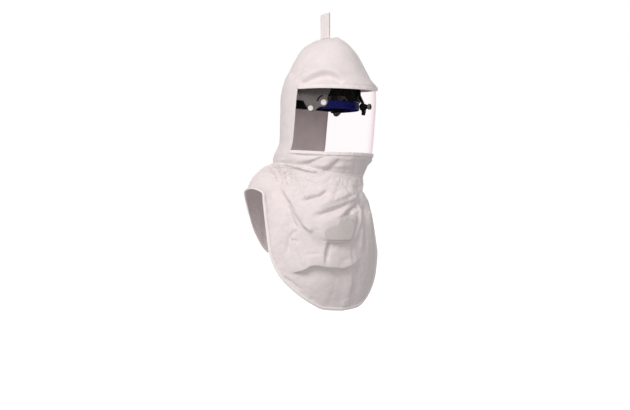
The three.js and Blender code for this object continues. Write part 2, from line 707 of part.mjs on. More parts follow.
// A button's domed head on the plate
function buttonHead(along, up, radius, tall) {
  return joined(
    rod(onPlate(along, up, GAP), onPlate(along, up, GAP + 0.7 * tall), radius, 24),
    rod(onPlate(along, up, GAP + 0.3 * tall), onPlate(along, up, GAP + tall), 0.8 * radius, 24),
  );
}

const bandInside = BAND.half * Math.pow(
  1 - Math.pow(PIVOT.fwd / BAND.front, BAND.fullness),
  1 / BAND.fullness,
) - BAND.thick;
const pivotButton = joined(
  buttonHead(pivotAlong, PIVOT.up, PIVOT.head, PIVOT.headTall),
  rod(pivotAt(bandInside), pivotAt(pivotSide + 1.2), PIVOT.shank, 24),
);
const rearButton = joined(
  buttonHead(REAR_BUTTON.along, REAR_BUTTON.up, REAR_BUTTON.head, REAR_BUTTON.headTall),
  rod(
    onPlate(REAR_BUTTON.along, REAR_BUTTON.up, -PLATE.thick),
    onPlate(REAR_BUTTON.along, REAR_BUTTON.up, 1.2),
    REAR_BUTTON.shank,
  ),
);
const plate = sidePlate();
add("side_plate_left", plate, GREY_PLASTIC);
add("side_plate_right", mirrored(plate), GREY_PLASTIC);
add("pivot_button_left", pivotButton, WHITE_PLASTIC);
add("pivot_button_right", mirrored(pivotButton), WHITE_PLASTIC);
add("rear_button_left", rearButton, WHITE_PLASTIC);
add("rear_button_right", mirrored(rearButton), WHITE_PLASTIC);

// Studs that carry the plates on the hood's wall above the visor
function stud(hand) {
  const along = STUD.fwd / Math.cos(PLATE.toe);
  const from = onPlate(along, STUD.up, 1.5);
  const turn = turnAt((STUD.fwd - MIDDLE) / (MIDDLE - backAt(STUD.up)), 1, FULLNESS);
  const dent = Math.min(0, hoodLift(hand * turn, STUD.up + STUD.radius));
  const reach = hoodPoint(turn, STUD.up + STUD.radius).x - CLOTH - 1.9 + dent;
  const to = new THREE.Vector3(reach, from.y, from.z);
  return joined(rod(onPlate(along, STUD.up, GAP), onPlate(along, STUD.up, 3), 8), rod(from, to, STUD.radius));
}
add("hood_stud_left", stud(1), WHITE_PLASTIC);
add("hood_stud_right", mirrored(stud(-1)), WHITE_PLASTIC);

// Black brow frame between the plates: taller over the middle of the brow
const frameRows = grid(1, 32, (down, across) => {
  const end = turnAt(FRAME.endFwd, FRAME.front, FRAME.fullness);
  const turn = -end + 2 * end * across;
  const foot = FRAME.side + (FRAME.middle - FRAME.side) * smooth((0.62 - Math.abs(turn)) / 0.16);
  return ringPoint(turn, FRAME.front, FRAME.half, FRAME.fullness, FRAME.top + (foot - FRAME.top) * down);
});
add("brow_frame", wall(frameRows, FRAME.thick), BLACK_PLASTIC);

// Front bracket, a bar bent forward from the frame, and its arm
function frontBracket() {
  const path = new THREE.CatmullRomCurve3(
    BRACKET_PATH.map((row) => new THREE.Vector3(row.fwd, row.up, 0)),
    false,
    "centripetal",
  );
  const steps = 10;
  const edge = (hand) =>
    Array.from({ length: steps + 1 }, (_, i) => {
      const p = path.getPoint(i / steps);
      const t = path.getTangent(i / steps);
      return new THREE.Vector2(p.x - (hand * t.y * BRACKET.thick) / 2, p.y + (hand * t.x * BRACKET.thick) / 2);
    });
  const shape = new THREE.Shape([...edge(1), ...edge(-1).reverse()]);
  const bar = new THREE.ExtrudeGeometry(shape, { depth: BRACKET.wide, bevelEnabled: false });
  const p = bar.getAttribute("position");
  for (let k = 0; k < p.count; k += 1) {
    p.setXYZ(k, p.getZ(k) - BRACKET.wide / 2, -p.getX(k), p.getY(k));
  }
  const arm = rod(
    new THREE.Vector3(0, -(BRACKET_PATH[4].fwd - 1), BRACKET.armUp),
    new THREE.Vector3(0, -BRACKET.armFwd, BRACKET.armUp),
    BRACKET.arm,
  );
  return joined(bar, arm);
}
add("front_bracket", frontBracket(), BLACK_PLASTIC);

// Round knob on the arm
function frontKnob() {
  const hole = BRACKET.arm + GAP;
  const edge = 1.2;
  const profile = [
    new THREE.Vector2(hole, 0),
    new THREE.Vector2(KNOB.radius - edge, 0),
    new THREE.Vector2(KNOB.radius, edge),
    new THREE.Vector2(KNOB.radius, KNOB.long - edge),
    new THREE.Vector2(KNOB.radius - edge, KNOB.long),
    new THREE.Vector2(hole, KNOB.long),
    new THREE.Vector2(hole, 0),
  ];
  const knob = new THREE.LatheGeometry(profile, 20);
  knob.rotateX(Math.PI);
  knob.translate(0, -KNOB.fwd, BRACKET.armUp);
  return knob;
}
add("front_knob", frontKnob(), GREY_PLASTIC);

export default group;
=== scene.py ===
"""Respirator hood in its worn form: sewn cloth, clear visor, long bibs and a head harness.

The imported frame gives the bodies, the side plates and their studs. The cloth, film, tapes and the rest of
the harness are surfaces worked out here in millimetres and stored in metres, in the frame's own axes: +Z
up, the visor facing -Y, the hood's left side at +X, the origin in the middle of the headband.
"""

import logging
import math
from collections.abc import Callable
from dataclasses import dataclass, replace
from enum import Enum
from itertools import product

import bpy
import numpy as np
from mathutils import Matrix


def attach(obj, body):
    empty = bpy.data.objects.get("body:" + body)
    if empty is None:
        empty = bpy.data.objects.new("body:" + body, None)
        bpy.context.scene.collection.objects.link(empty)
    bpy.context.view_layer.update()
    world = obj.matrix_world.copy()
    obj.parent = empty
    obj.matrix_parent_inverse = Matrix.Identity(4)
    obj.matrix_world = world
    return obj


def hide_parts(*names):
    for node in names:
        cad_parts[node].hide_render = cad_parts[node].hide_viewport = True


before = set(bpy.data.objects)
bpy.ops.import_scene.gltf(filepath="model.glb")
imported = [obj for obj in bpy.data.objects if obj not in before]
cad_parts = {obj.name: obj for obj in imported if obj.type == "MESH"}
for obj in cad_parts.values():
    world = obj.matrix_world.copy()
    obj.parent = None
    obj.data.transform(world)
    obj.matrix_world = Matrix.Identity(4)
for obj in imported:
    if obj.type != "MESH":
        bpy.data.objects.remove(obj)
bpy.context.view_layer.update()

LOG = logging.getLogger("respirator_hood")
Array = np.ndarray
MM = 0.001
UPRIGHT = np.array([0.0, 0.0, 1.0])
AHEAD = np.array([0.0, -1.0, 0.0])


class Body(Enum):
    """The rigid bodies of the part."""

    HOOD = "hood"
    HEADBAND = "headband"


class FoldKind(Enum):
    """How the cloth lies along a fold's line."""

    ROLL = "roll"
    LIP = "lip"


# Numbers and grids


def smooth(x: Array) -> Array:
    """Smoothstep: 3c^2 - 2c^3, where c is x held between 0 and 1."""
    c = np.clip(x, 0.0, 1.0)
    return c * c * (3.0 - 2.0 * c)


def powered(x: Array, exponent: float) -> Array:
    """The size of x raised to a power, with the sign of x."""
    return np.sign(x) * np.abs(x) ** exponent


def through(xs: Array, ys: Array, at: Array) -> Array:
    """A smooth curve through table rows that never overshoots them.

    Each interval is a cubic whose end slopes are the harmonic means of the rises beside them.

    Args:
        xs: Places of the rows, rising.
        ys: Values of the rows.
        at: Places to read.

    Returns:
        The values at those places.
    """
    step = np.diff(xs)
    rise = np.diff(ys) / step
    before = np.concatenate([rise[:1], rise])
    after = np.concatenate([rise, rise[-1:]])
    agree = before * after
    slope = np.where(agree > 0, 2 * agree / np.where(agree > 0, before + after, 1.0), 0.0)
    i = np.clip(np.searchsorted(xs, at, side="left") - 1, 0, len(step) - 1)
    s = np.clip((at - xs[i]) / step[i], 0.0, 1.0)
    bend = step[i] * (s * (1 - s) ** 2 * slope[i] - s * s * (1 - s) * slope[i + 1])
    return ys[i] + (ys[i + 1] - ys[i]) * s * s * (3 - 2 * s) + bend


def unit(v: Array) -> Array:
    """Vectors divided by their lengths."""
    return v / np.maximum(np.linalg.norm(v, axis=-1, keepdims=True), 1e-9)


def lengths_along(path: Array) -> Array:
    """Distance of each point of a path from its start, along it."""
    return np.concatenate([[0.0], np.cumsum(np.linalg.norm(np.diff(path, axis=0), axis=1))])


def grid_normals(points: Array, wrap: bool = False) -> Array:
    """Unit normals of a grid of points, facing away from the upright axis.

    A normal is the cross product of the differences across and down the grid.

    Args:
        points: Rows, columns and xyz.
        wrap: True if the last column meets the first.

    Returns:
        One normal for each point.
    """
    across = np.roll(points, -1, 1) - np.roll(points, 1, 1) if wrap else np.gradient(points, axis=1)
    normal = unit(np.cross(across, np.gradient(points, axis=0)))
    return normal if (normal[..., :2] * points[..., :2]).sum() > 0 else -normal


def grid_quads(rows: int, columns: int, wrap: bool = False) -> Array:
    """Corner numbers of a grid's cells, as rows, cells and four corners.

    Args:
        rows: Rows of points.
        columns: Points in a row.
        wrap: True if the last column meets the first.

    Returns:
        Corner numbers: rows, cells and four corners.
    """
    j, i = np.meshgrid(np.arange(rows - 1), np.arange(columns if wrap else columns - 1), indexing="ij")
    right = (i + 1) % columns
    upper, lower = j * columns, (j + 1) * columns
    return np.stack([upper + i, upper + right, lower + right, lower + i], axis=2)


def crumple(points: Array, cell: float, seed: int) -> Array:
    """Faceted creasing of crisp spun cloth, from 0 in the creases to 1 between them.

    Seeded points lie about one cell apart on the cloth. The value is 1 - exp(-4g), where g is the gap
    between the distances to the nearest two of them, in cells.

    Args:
        points: Grid of points in millimetres.
        cell: Size of the facets in millimetres.
        seed: Seed of the random generator.

    Returns:
        One value for each point.
    """
    flat = points.reshape(-1, 3)
    area = np.linalg.norm(np.cross(np.gradient(points, axis=0), np.gradient(points, axis=1)), axis=2).sum()
    chosen = np.random.default_rng(seed).choice(len(flat), max(8, int(area / cell**2)), replace=False)
    near = [
        np.partition(np.linalg.norm(part[:, None] - flat[chosen][None], axis=2), 1, axis=1)[:, :2]
        for part in np.array_split(flat, 32)
    ]
    first, second = np.concatenate(near).T
    return (1.0 - np.exp(-4.0 * (second - first) / cell)).reshape(points.shape[:2])


@dataclass(frozen=True)
class Facets:
    """Crumpled facets of one size: how far they stand out, their size in millimetres and their seed."""

    out: float
    cell: float
    seed: int

    def height(self, points: Array) -> Array:
        """Height of the facets at each point of a grid, from 0 in the creases."""
        return self.out * crumple(points, self.cell, self.seed)


# Meshes


def make_piece(name: str, points: Array, faces: list, uv: Array | None = None) -> bpy.types.Object:
    """A smooth-shaded mesh object at the origin.

    Args:
        name: Name of the object and its mesh.
        points: Points in millimetres.
        faces: Corner numbers of each face.
        uv: Optional pair of surface distances in metres for each point.

    Returns:
        The new object, linked to the scene.
    """
    mesh = bpy.data.meshes.new(name)
    mesh.from_pydata((points.reshape(-1, 3) * MM).tolist(), [], faces)
    if uv is not None:
        corner = np.empty(len(mesh.loops), np.int32)
        mesh.loops.foreach_get("vertex_index", corner)
        layer = mesh.uv_layers.new(name="surface")
        layer.data.foreach_set("uv", uv.reshape(-1, 2)[corner].astype(np.float32).ravel())
    mesh.polygons.foreach_set("use_smooth", np.ones(len(mesh.polygons), bool))
    mesh.update()
    piece = bpy.data.objects.new(name, mesh)
    bpy.context.scene.collection.objects.link(piece)
    return piece


def facing(points: Array, quads: Array, normals: Array) -> Array:
    """Quads turned so that their faces look the way the given point normals do.

    Args:
        points: Points in millimetres.
        quads: Corner numbers of the cells.
        normals: One for each point.

    Returns:
        The quads, all turned round or all as they were.
    """
    flat = points.reshape(-1, 3)
    a, b, d = flat[quads[:, 0]], flat[quads[:, 1]], flat[quads[:, 3]]
    agree = (np.cross(b - a, d - a) * normals.reshape(-1, 3)[quads[:, 0]]).sum()
    return quads if agree > 0 else quads[:, ::-1]


def cloth_piece(name: str, points: Array, normals: Array, thick: float, quads: Array | None = None,
                extra: tuple = (), uv: Array | None = None) -> bpy.types.Object:
    """A sheet with its outside on the grid, given its thickness inwards by Solidify.

    Args:
        name: Name of the piece.
        points: Grid of points in millimetres.
        normals: Outward normals of the grid.
        thick: Thickness in millimetres.
        quads: Corner numbers of the cells to keep; all of them if left out.
        extra: Further faces, already facing outwards.
        uv: Optional surface distances.

    Returns:
        The new object.
    """
    if quads is None:
        quads = grid_quads(*points.shape[:2]).reshape(-1, 4)
    faces = facing(points, quads, normals).tolist() + [list(face) for face in extra]
    used = np.unique(np.concatenate([np.asarray(face) for face in faces]) if extra else quads)
    number = np.zeros(points.shape[0] * points.shape[1], int)
    number[used] = np.arange(len(used))
    kept = points.reshape(-1, 3)[used]
    piece = make_piece(name, kept, [number[face].tolist() for face in faces],
                       None if uv is None else uv.reshape(-1, 2)[used])
    wall = piece.modifiers.new("wall", "SOLIDIFY")
    wall.thickness = thick * MM
    wall.offset = -1.0
    return piece


def swept_piece(name: str, path: Array, across: Array, out: Array, profile: Array,
                closed: bool = False) -> bpy.types.Object:
    """A profile carried along a path.

    Each ring is path + x * across + y * out for the profile's points (x, y). An open end is closed by
    one face, and a closed path joins its last ring to its first.

    Args:
        name: Name of the piece.
        path: Points of the path in millimetres.
        across: Unit vectors of the profile's first axis along the path.
        out: Unit vectors of the profile's second axis along the path.
        profile: Closed outline, in millimetres; a third axis gives each ring its own outline.
        closed: True if the path is a loop.

    Returns:
        The new object.
    """
    outline = np.broadcast_to(profile, (len(path), *profile.shape[-2:]))
    rings = path[:, None] + outline[..., :1] * across[:, None] + outline[..., 1:] * out[:, None]
    count, sides = rings.shape[:2]
    looped = np.concatenate([rings, rings[:1]]) if closed else rings
    quads = grid_quads(len(looped), sides, True).reshape(-1, 4) % (count * sides)
    flat = rings.reshape(-1, 3)
    a, b, c, d = (flat[quads[:, k]] for k in range(4))
    volume = (a * np.cross(b, c)).sum() + (a * np.cross(c, d)).sum()
    faces = quads.tolist()
    if not closed:
        start, end = np.arange(sides), np.arange(sides) + (count - 1) * sides
        faces += [start[::-1].tolist(), end.tolist()]
    if volume < 0:
        faces = [face[::-1] for face in faces]
    uv = np.stack(np.meshgrid(lengths_along(outline[0]), lengths_along(path)), axis=2) * MM
    return make_piece(name, rings, faces, uv)


def rounded(width: float, height: float, power: float = 4.0, count: int = 20) -> Array:
    """A rounded oblong outline: width/2 * cos^(2/power), height/2 * sin^(2/power) of the angle.

    Args:
        width: Width in millimetres.
        height: Height in millimetres.
        power: 2 for an oval, more for squarer corners.
        count: Number of points.

    Returns:
        Points of the outline.
    """
    angle = np.arange(count) / count * 2 * np.pi
    x, y = powered(np.cos(angle), 2 / power), powered(np.sin(angle), 2 / power)
    return np.stack([x * width / 2, y * height / 2], axis=1)


def turned_piece(name: str, centre: Array, axis: Array, profile: Array, sides: int = 40,
                 ripple: float = 0.0, ribs: int = 0) -> bpy.types.Object:
    """A body turned about an axis: radius * (1 + ripple * cos(ribs * angle)) at each height of the profile.

    Args:
        name: Name of the piece.
        centre: Foot of the axis in millimetres.
        axis: Unit vector along the axis, which is never upright.
        profile: Rows of radius and height, from the foot up; both ends have a small radius.
        sides: Points round the axis.
        ripple: Depth of the grip ribs as a share of the radius.
        ribs: Number of grip ribs.

    Returns:
        The new object.
    """
    first = unit(np.cross(axis, UPRIGHT))
    second = np.cross(axis, first)
    angle = np.arange(sides) / sides * 2 * np.pi
    grip = 1 + ripple * np.cos(ribs * angle)
    ring = np.stack([np.cos(angle) * grip, np.sin(angle) * grip], axis=1)
    outlines = ring[None] * profile[:, :1, None]
    path = centre + profile[:, 1:] * axis
    return swept_piece(name, path, np.tile(first, (len(path), 1)), np.tile(second, (len(path), 1)), outlines)


def stitched(name: str, path: Array, out: Array, long: float = 2.8, pitch: float = 4.0,
             radius: float = 0.35) -> bpy.types.Object:
    """A row of stitches along a path: each one a thread arch, closed, with six sides.

    A stitch is a swept ring whose radius is radius * sqrt(sin) of its share along it.

    Args:
        name: Name of the piece.
        path: Points of the row in millimetres.
        out: Outward unit vectors along the path.
        long: Length of a stitch.
        pitch: Distance from stitch to stitch.
        radius: Radius of the thread.

    Returns:
        One object with all the stitches.
    """
    along = lengths_along(path)
    at = np.arange(pitch / 2, along[-1], pitch)

    def read(rows: Array, places: Array) -> Array:
        """Vectors read from rows along the path."""
        return np.stack([np.interp(places, along, rows[:, k]) for k in range(3)], axis=1)

    tangent = unit(read(path, at + 0.5) - read(path, at - 0.5))
    normal = unit(read(out, at))
    side = np.cross(tangent, normal)
    share, sides = np.array([0.02, 0.2, 0.5, 0.8, 0.98]), 6
    rings = len(share)
    angle = np.arange(sides) / sides * 2 * np.pi
    ring = radius * np.sqrt(np.sin(share * np.pi))[:, None]
    t = np.broadcast_to((share[:, None] - 0.5) * long, (rings, sides)).ravel()[:, None]
    s = (ring * np.cos(angle)).ravel()[:, None]
    n = (ring * np.sin(angle) + 0.4 * radius).ravel()[:, None]
    points = read(path, at)[:, None] + t * tangent[:, None] + s * side[:, None] + n * normal[:, None]
    quads = grid_quads(rings, sides, True).reshape(-1, 4)[:, ::-1]
    start = (np.arange(len(at)) * rings * sides)[:, None, None]
    caps = np.stack([np.arange(sides), np.arange(sides)[::-1] + (rings - 1) * sides])
    faces = (quads + start).reshape(-1, 4).tolist() + (caps + start).reshape(-1, sides).tolist()
    return make_piece(name, points, faces)


# Finishes


class Shader:
    """A material's node tree with the few steps the finishes share."""

    def __init__(self, name: str) -> None:
        """Starts a material with a Principled shader.

        Args:
            name: Name of the material.
        """
        self.material = bpy.data.materials.new(name)
        self.material.use_nodes = True
        self.tree = self.material.node_tree
        self.principled = self.tree.nodes["Principled BSDF"]
        self.place = self.tree.nodes.new("ShaderNodeTexCoord")

    def set(self, **values: object) -> None:
        """Sets constants on the Principled shader's own sockets, named with _ for a space."""
        for key, value in values.items():
            self.principled.inputs[key.replace("_", " ")].default_value = value

    def noise(self, scale: float, detail: float = 4.0, source: str = "Object") -> bpy.types.NodeSocket:
        """A noise value on the piece's own coordinates, scale in cycles per metre.

        Args:
            scale: Cycles per metre.
            detail: Octaves of finer noise.
            source: Coordinates that it reads.

        Returns:
            The noise's value.
        """
        node = self.tree.nodes.new("ShaderNodeTexNoise")
        node.inputs["Scale"].default_value = scale
        node.inputs["Detail"].default_value = detail
        self.tree.links.new(self.place.outputs[source], node.inputs["Vector"])
        return node.outputs["Fac"]

    def wave(self, scale: float, direction: str) -> bpy.types.NodeSocket:
        """A wave value across or along the piece's UV map.

        Args:
            scale: Size of the bands on the UV map.
            direction: X for across, Y for along.

        Returns:
            The wave's value.
        """
        node = self.tree.nodes.new("ShaderNodeTexWave")
        node.bands_direction = direction
        node.inputs["Scale"].default_value = scale
        self.tree.links.new(self.place.outputs["UV"], node.inputs["Vector"])
        return node.outputs["Fac"]

    def ramp(self, value: bpy.types.NodeSocket, low: tuple, high: tuple, start: float = 0.3,
             end: float = 0.7) -> bpy.types.NodeSocket:
        """A colour between low and high by a value.

        Args:
            value: Value to read.
            low: Colour at the start.
            high: Colour at the end.
            start: Value that gives the low colour.
            end: Value that gives the high colour.

        Returns:
            The colour.
        """
        node = self.tree.nodes.new("ShaderNodeValToRGB")
        node.color_ramp.elements[0].color = (*low, 1.0)
        node.color_ramp.elements[1].color = (*high, 1.0)
        node.color_ramp.elements[0].position = start
        node.color_ramp.elements[1].position = end
        self.tree.links.new(value, node.inputs["Fac"])
        return node.outputs["Color"]

    def spread(self, value: bpy.types.NodeSocket, low: float, high: float) -> bpy.types.NodeSocket:
        """A value from 0..1 mapped to low..high.

        Args:
            value: Value to read.
            low: Result at 0.
            high: Result at 1.

        Returns:
            The mapped value.
        """
        node = self.tree.nodes.new("ShaderNodeMapRange")
        node.inputs["To Min"].default_value = low
        node.inputs["To Max"].default_value = high
        self.tree.links.new(value, node.inputs["Value"])
        return node.outputs["Result"]

    def feed(self, socket: str, value: bpy.types.NodeSocket) -> None:
        """Links a value to a socket of the Principled shader."""
        self.tree.links.new(value, self.principled.inputs[socket])

    def bump(self, *layers: tuple[bpy.types.NodeSocket, float]) -> None:
        """Chains bump layers, each a height value and its depth in metres, into the shader's normal.

        Args:
            layers: Pairs of height value and depth.
        """
        last = None
        for height, depth in layers:
            node = self.tree.nodes.new("ShaderNodeBump")
            node.inputs["Distance"].default_value = depth
            self.tree.links.new(height, node.inputs["Height"])
            if last is not None:
                self.tree.links.new(last, node.inputs["Normal"])
            last = node.outputs["Normal"]
        self.feed("Normal", last)


@dataclass(frozen=True)
class SpunCloth:
    """Spun-fibre sheet: matt, faintly mottled, with fine fibre relief."""

    name: str
    light: tuple = (0.87, 0.785, 0.785)
    dark: tuple = (0.81, 0.722, 0.722)
    fibre: float = 0.00025

    def material(self) -> bpy.types.Material:
        """Builds the cloth's material.

        Returns:
            The material.
        """
        shader = Shader(self.name)
        mottle = shader.noise(45.0, 5.0)
        fibres = shader.noise(1400.0, 3.0)
        shader.feed("Base Color", shader.ramp(mottle, self.dark, self.light, 0.25, 0.75))
        shader.feed("Roughness", shader.spread(fibres, 0.68, 0.9))
        shader.bump((mottle, 0.0006), (fibres, self.fibre))
        shader.set(Sheen_Weight=0.12, Sheen_Roughness=0.6, Specular_IOR_Level=0.3)
        return shader.material


@dataclass(frozen=True)
class WovenTape:
    """Woven tape or webbing: ribs across and along its UV map."""

    name: str
    light: tuple
    dark: tuple
    threads: float = 320.0

    def material(self) -> bpy.types.Material:
        """Builds the tape's material.

        Returns:
            The material.
        """
        shader = Shader(self.name)
        weft = shader.wave(self.threads, "X")
        warp = shader.wave(self.threads * 0.8, "Y")
        wear = shader.noise(120.0)
        shader.feed("Base Color", shader.ramp(wear, self.dark, self.light))
        shader.feed("Roughness", shader.spread(wear, 0.75, 0.95))
        shader.bump((weft, 0.0003), (warp, 0.0003))
        shader.set(Sheen_Weight=0.15, Specular_IOR_Level=0.3)
        return shader.material


@dataclass(frozen=True)
class Moulded:
    """Moulded plastic: a slight colour drift, fine grain and handling marks in its gloss."""

    name: str
    light: tuple
    dark: tuple
    gloss: tuple = (0.35, 0.55)
    shine: float = 0.3
    grain: float = 0.00008

    def material(self) -> bpy.types.Material:
        """Builds the plastic's material.

        Returns:
            The material.
        """
        shader = Shader(self.name)
        drift = shader.noise(70.0)
        grain = shader.noise(2200.0, 2.0)
        shader.feed("Base Color", shader.ramp(drift, self.dark, self.light))
        shader.feed("Roughness", shader.spread(drift, *self.gloss))
        shader.bump((grain, self.grain))
        shader.set(Specular_IOR_Level=self.shine)
        return shader.material


@dataclass(frozen=True)
class ClearFilm:
    """Clear visor film: it lets nearly all light through and shows more of itself edge on."""

    name: str
    tint: tuple = (1.0, 0.99, 0.992)
    edge_tint: tuple = (1.0, 0.93, 0.95)
    body: tuple = (0.97, 0.86, 0.88)
    facing: float = 0.0008
    edge_on: float = 0.3

    def material(self) -> bpy.types.Material:
        """Builds the film's material: a clear shader mixed with a glossy pale one by facing.

        Returns:
            The material.
        """
        shader = Shader(self.name)
        haze = shader.noise(25.0)
        shader.feed("Base Color", shader.ramp(haze, self.body, tuple(min(1.0, c * 1.04) for c in self.body)))
        shader.feed("Roughness", shader.spread(haze, 0.06, 0.12))
        nodes, links = shader.tree.nodes, shader.tree.links
        clear = nodes.new("ShaderNodeBsdfTransparent")
        weight = nodes.new("ShaderNodeLayerWeight")
        weight.inputs["Blend"].default_value = 0.25
        colour = shader.ramp(weight.outputs["Facing"], self.tint, self.edge_tint, 0.2, 0.8)
        links.new(colour, clear.inputs["Color"])
        share = nodes.new("ShaderNodeMapRange")
        share.inputs["From Min"].default_value = 0.3
        share.inputs["To Min"].default_value = self.facing
        share.inputs["To Max"].default_value = self.edge_on
        mix = nodes.new("ShaderNodeMixShader")
        links.new(weight.outputs["Facing"], share.inputs["Value"])
        links.new(share.outputs["Result"], mix.inputs["Fac"])
        links.new(clear.outputs["BSDF"], mix.inputs[1])
        links.new(shader.principled.outputs["BSDF"], mix.inputs[2])
        links.new(mix.outputs["Shader"], nodes["Material Output"].inputs["Surface"])
        return shader.material


HOOD_CLOTH = SpunCloth("spun_hood_cloth")
BIB_CLOTH = SpunCloth("spun_bib_cloth")
HEM_CLOTH = SpunCloth("spun_hem_cloth", (0.95, 0.87, 0.865), (0.90, 0.82, 0.815))
BINDING_CLOTH = SpunCloth("spun_binding_cloth", (0.97, 0.90, 0.875), (0.93, 0.855, 0.83))
THREAD = SpunCloth("white_thread", (0.93, 0.90, 0.89), (0.88, 0.84, 0.83), 0.0001)
LABEL_CLOTH = WovenTape("woven_label", (0.90, 0.825, 0.79), (0.85, 0.775, 0.74), 420.0)
LOOP_TAPE = WovenTape("woven_loop", (0.95, 0.87, 0.86), (0.90, 0.82, 0.81), 200.0)
VISOR_FILM = ClearFilm("clear_film")
BLUE_BAND = Moulded("blue_band", (0.003, 0.005, 0.105), (0.002, 0.0035, 0.072), (0.3, 0.45), 0.09)
BLACK_PLASTIC = Moulded("black_plastic", (0.0022, 0.002, 0.0026), (0.0012, 0.0012, 0.0015), (0.45, 0.6), 0.08)
GREY_PLASTIC = Moulded("grey_plastic", (0.150, 0.138, 0.130), (0.118, 0.108, 0.103))
WHITE_PLASTIC = Moulded("white_plastic", (0.86, 0.84, 0.81), (0.78, 0.76, 0.73), (0.2, 0.35))
BLACK_WEBBING = WovenTape("black_webbing", (0.022, 0.022, 0.024), (0.012, 0.012, 0.013))


Finish = SpunCloth | WovenTape | Moulded | ClearFilm


def coat(target: bpy.types.Object, finish: Finish) -> None:
    """Puts a finish on all of an object, its material made once."""
    target.data.materials.clear()
    target.data.materials.append(bpy.data.materials.get(finish.name) or finish.material())


def dress(piece: bpy.types.Object, finish: Finish, body: Body, slot: str, *nodes: str) -> bpy.types.Object:
    """Gives a piece its finish and its body, and hides the nodes it stands for.

    Args:
        piece: The new piece.
        finish: The finish to put on it.
        body: The body it moves with.
        slot: The record's material slot; not used.
        nodes: Nodes that it replaces.

    Returns:
        The same piece.
    """
    coat(piece, finish)
    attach(piece, body.value)
    if nodes:
        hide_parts(*nodes)
    LOG.info("%s: %d faces on %s", piece.name, len(piece.data.polygons), body.value)
    return piece


# Folds


@dataclass(frozen=True)
class Fold:
    """A fold along a line of places on a cloth, in millimetres.

    A ROLL lifts the cloth by out * exp(-(d/w)^2), d being the distance from the line and w the width on
    that side of it: width on the left of the line, right on its right. A LIP lifts the left side only, by
    out * smoothstep across width and then out * exp(-(d/right)^2), and lets it hang down over its right.
    Both rise and fade over the shares of the line's length in fade.
    """

    line: tuple
    out: float
    width: float
    right: float | None = None
    kind: FoldKind = FoldKind.ROLL
    hang: float = 0.0
    fade: tuple = (0.25, 0.25)

    def places(self, a: Array, b: Array) -> tuple[Array, Array]:
        """Signed distance from the line, positive on its left, and the share of the line's length.

        Args:
            a: First coordinate of each place.
            b: Second coordinate of each place.

        Returns:
            The distances and the shares.
        """
        rows = np.array(self.line, float)
        steps = np.diff(rows, axis=0)
        lengths = np.linalg.norm(steps, axis=1)
        starts = np.concatenate([[0.0], np.cumsum(lengths)])
        best = np.full(a.shape, np.inf)
        side, share = np.zeros(a.shape), np.zeros(a.shape)
        for (a0, b0), (da, db), length, start in zip(rows[:-1], steps, lengths, starts):
            t = np.clip(((a - a0) * da + (b - b0) * db) / length**2, 0.0, 1.0)
            off = np.hypot(a - a0 - t * da, b - b0 - t * db)
            closer = off < best
            best = np.where(closer, off, best)
            side = np.where(closer, np.sign(da * (b - b0) - db * (a - a0)), side)
            share = np.where(closer, (start + t * length) / starts[-1], share)
        return best * side, share

    def lift(self, a: Array, b: Array) -> tuple[Array, Array]:
        """How far the fold lifts each place and how far it lets it hang down.

        Args:
            a: First coordinate of each place.
            b: Second coordinate of each place.

        Returns:
            The lifts and the hangs.
        """
        distance, share = self.places(a, b)
        strength = smooth(share / max(self.fade[0], 1e-3)) * smooth((1 - share) / max(self.fade[1], 1e-3))
        right = self.width if self.right is None else self.right
        if self.kind is FoldKind.LIP:
            near = smooth(0.5 + distance / (2 * self.width))
            away = np.exp(-((np.maximum(distance, 0.0) / right) ** 2))
            ahead = np.exp(-((distance / (3 * self.width)) ** 2))
            return self.out * strength * near * away, self.hang * strength * near * ahead
        wide = np.where(distance > 0, self.width, right)
        return self.out * strength * np.exp(-((distance / wide) ** 2)), np.zeros(a.shape)


def folded(folds: tuple, a: Array, b: Array) -> tuple[Array, Array]:
    """The summed lifts and hangs of several folds."""
    pairs = [fold.lift(a, b) for fold in folds]
    return sum(lift for lift, _ in pairs), sum(hang for _, hang in pairs)


# Hood form


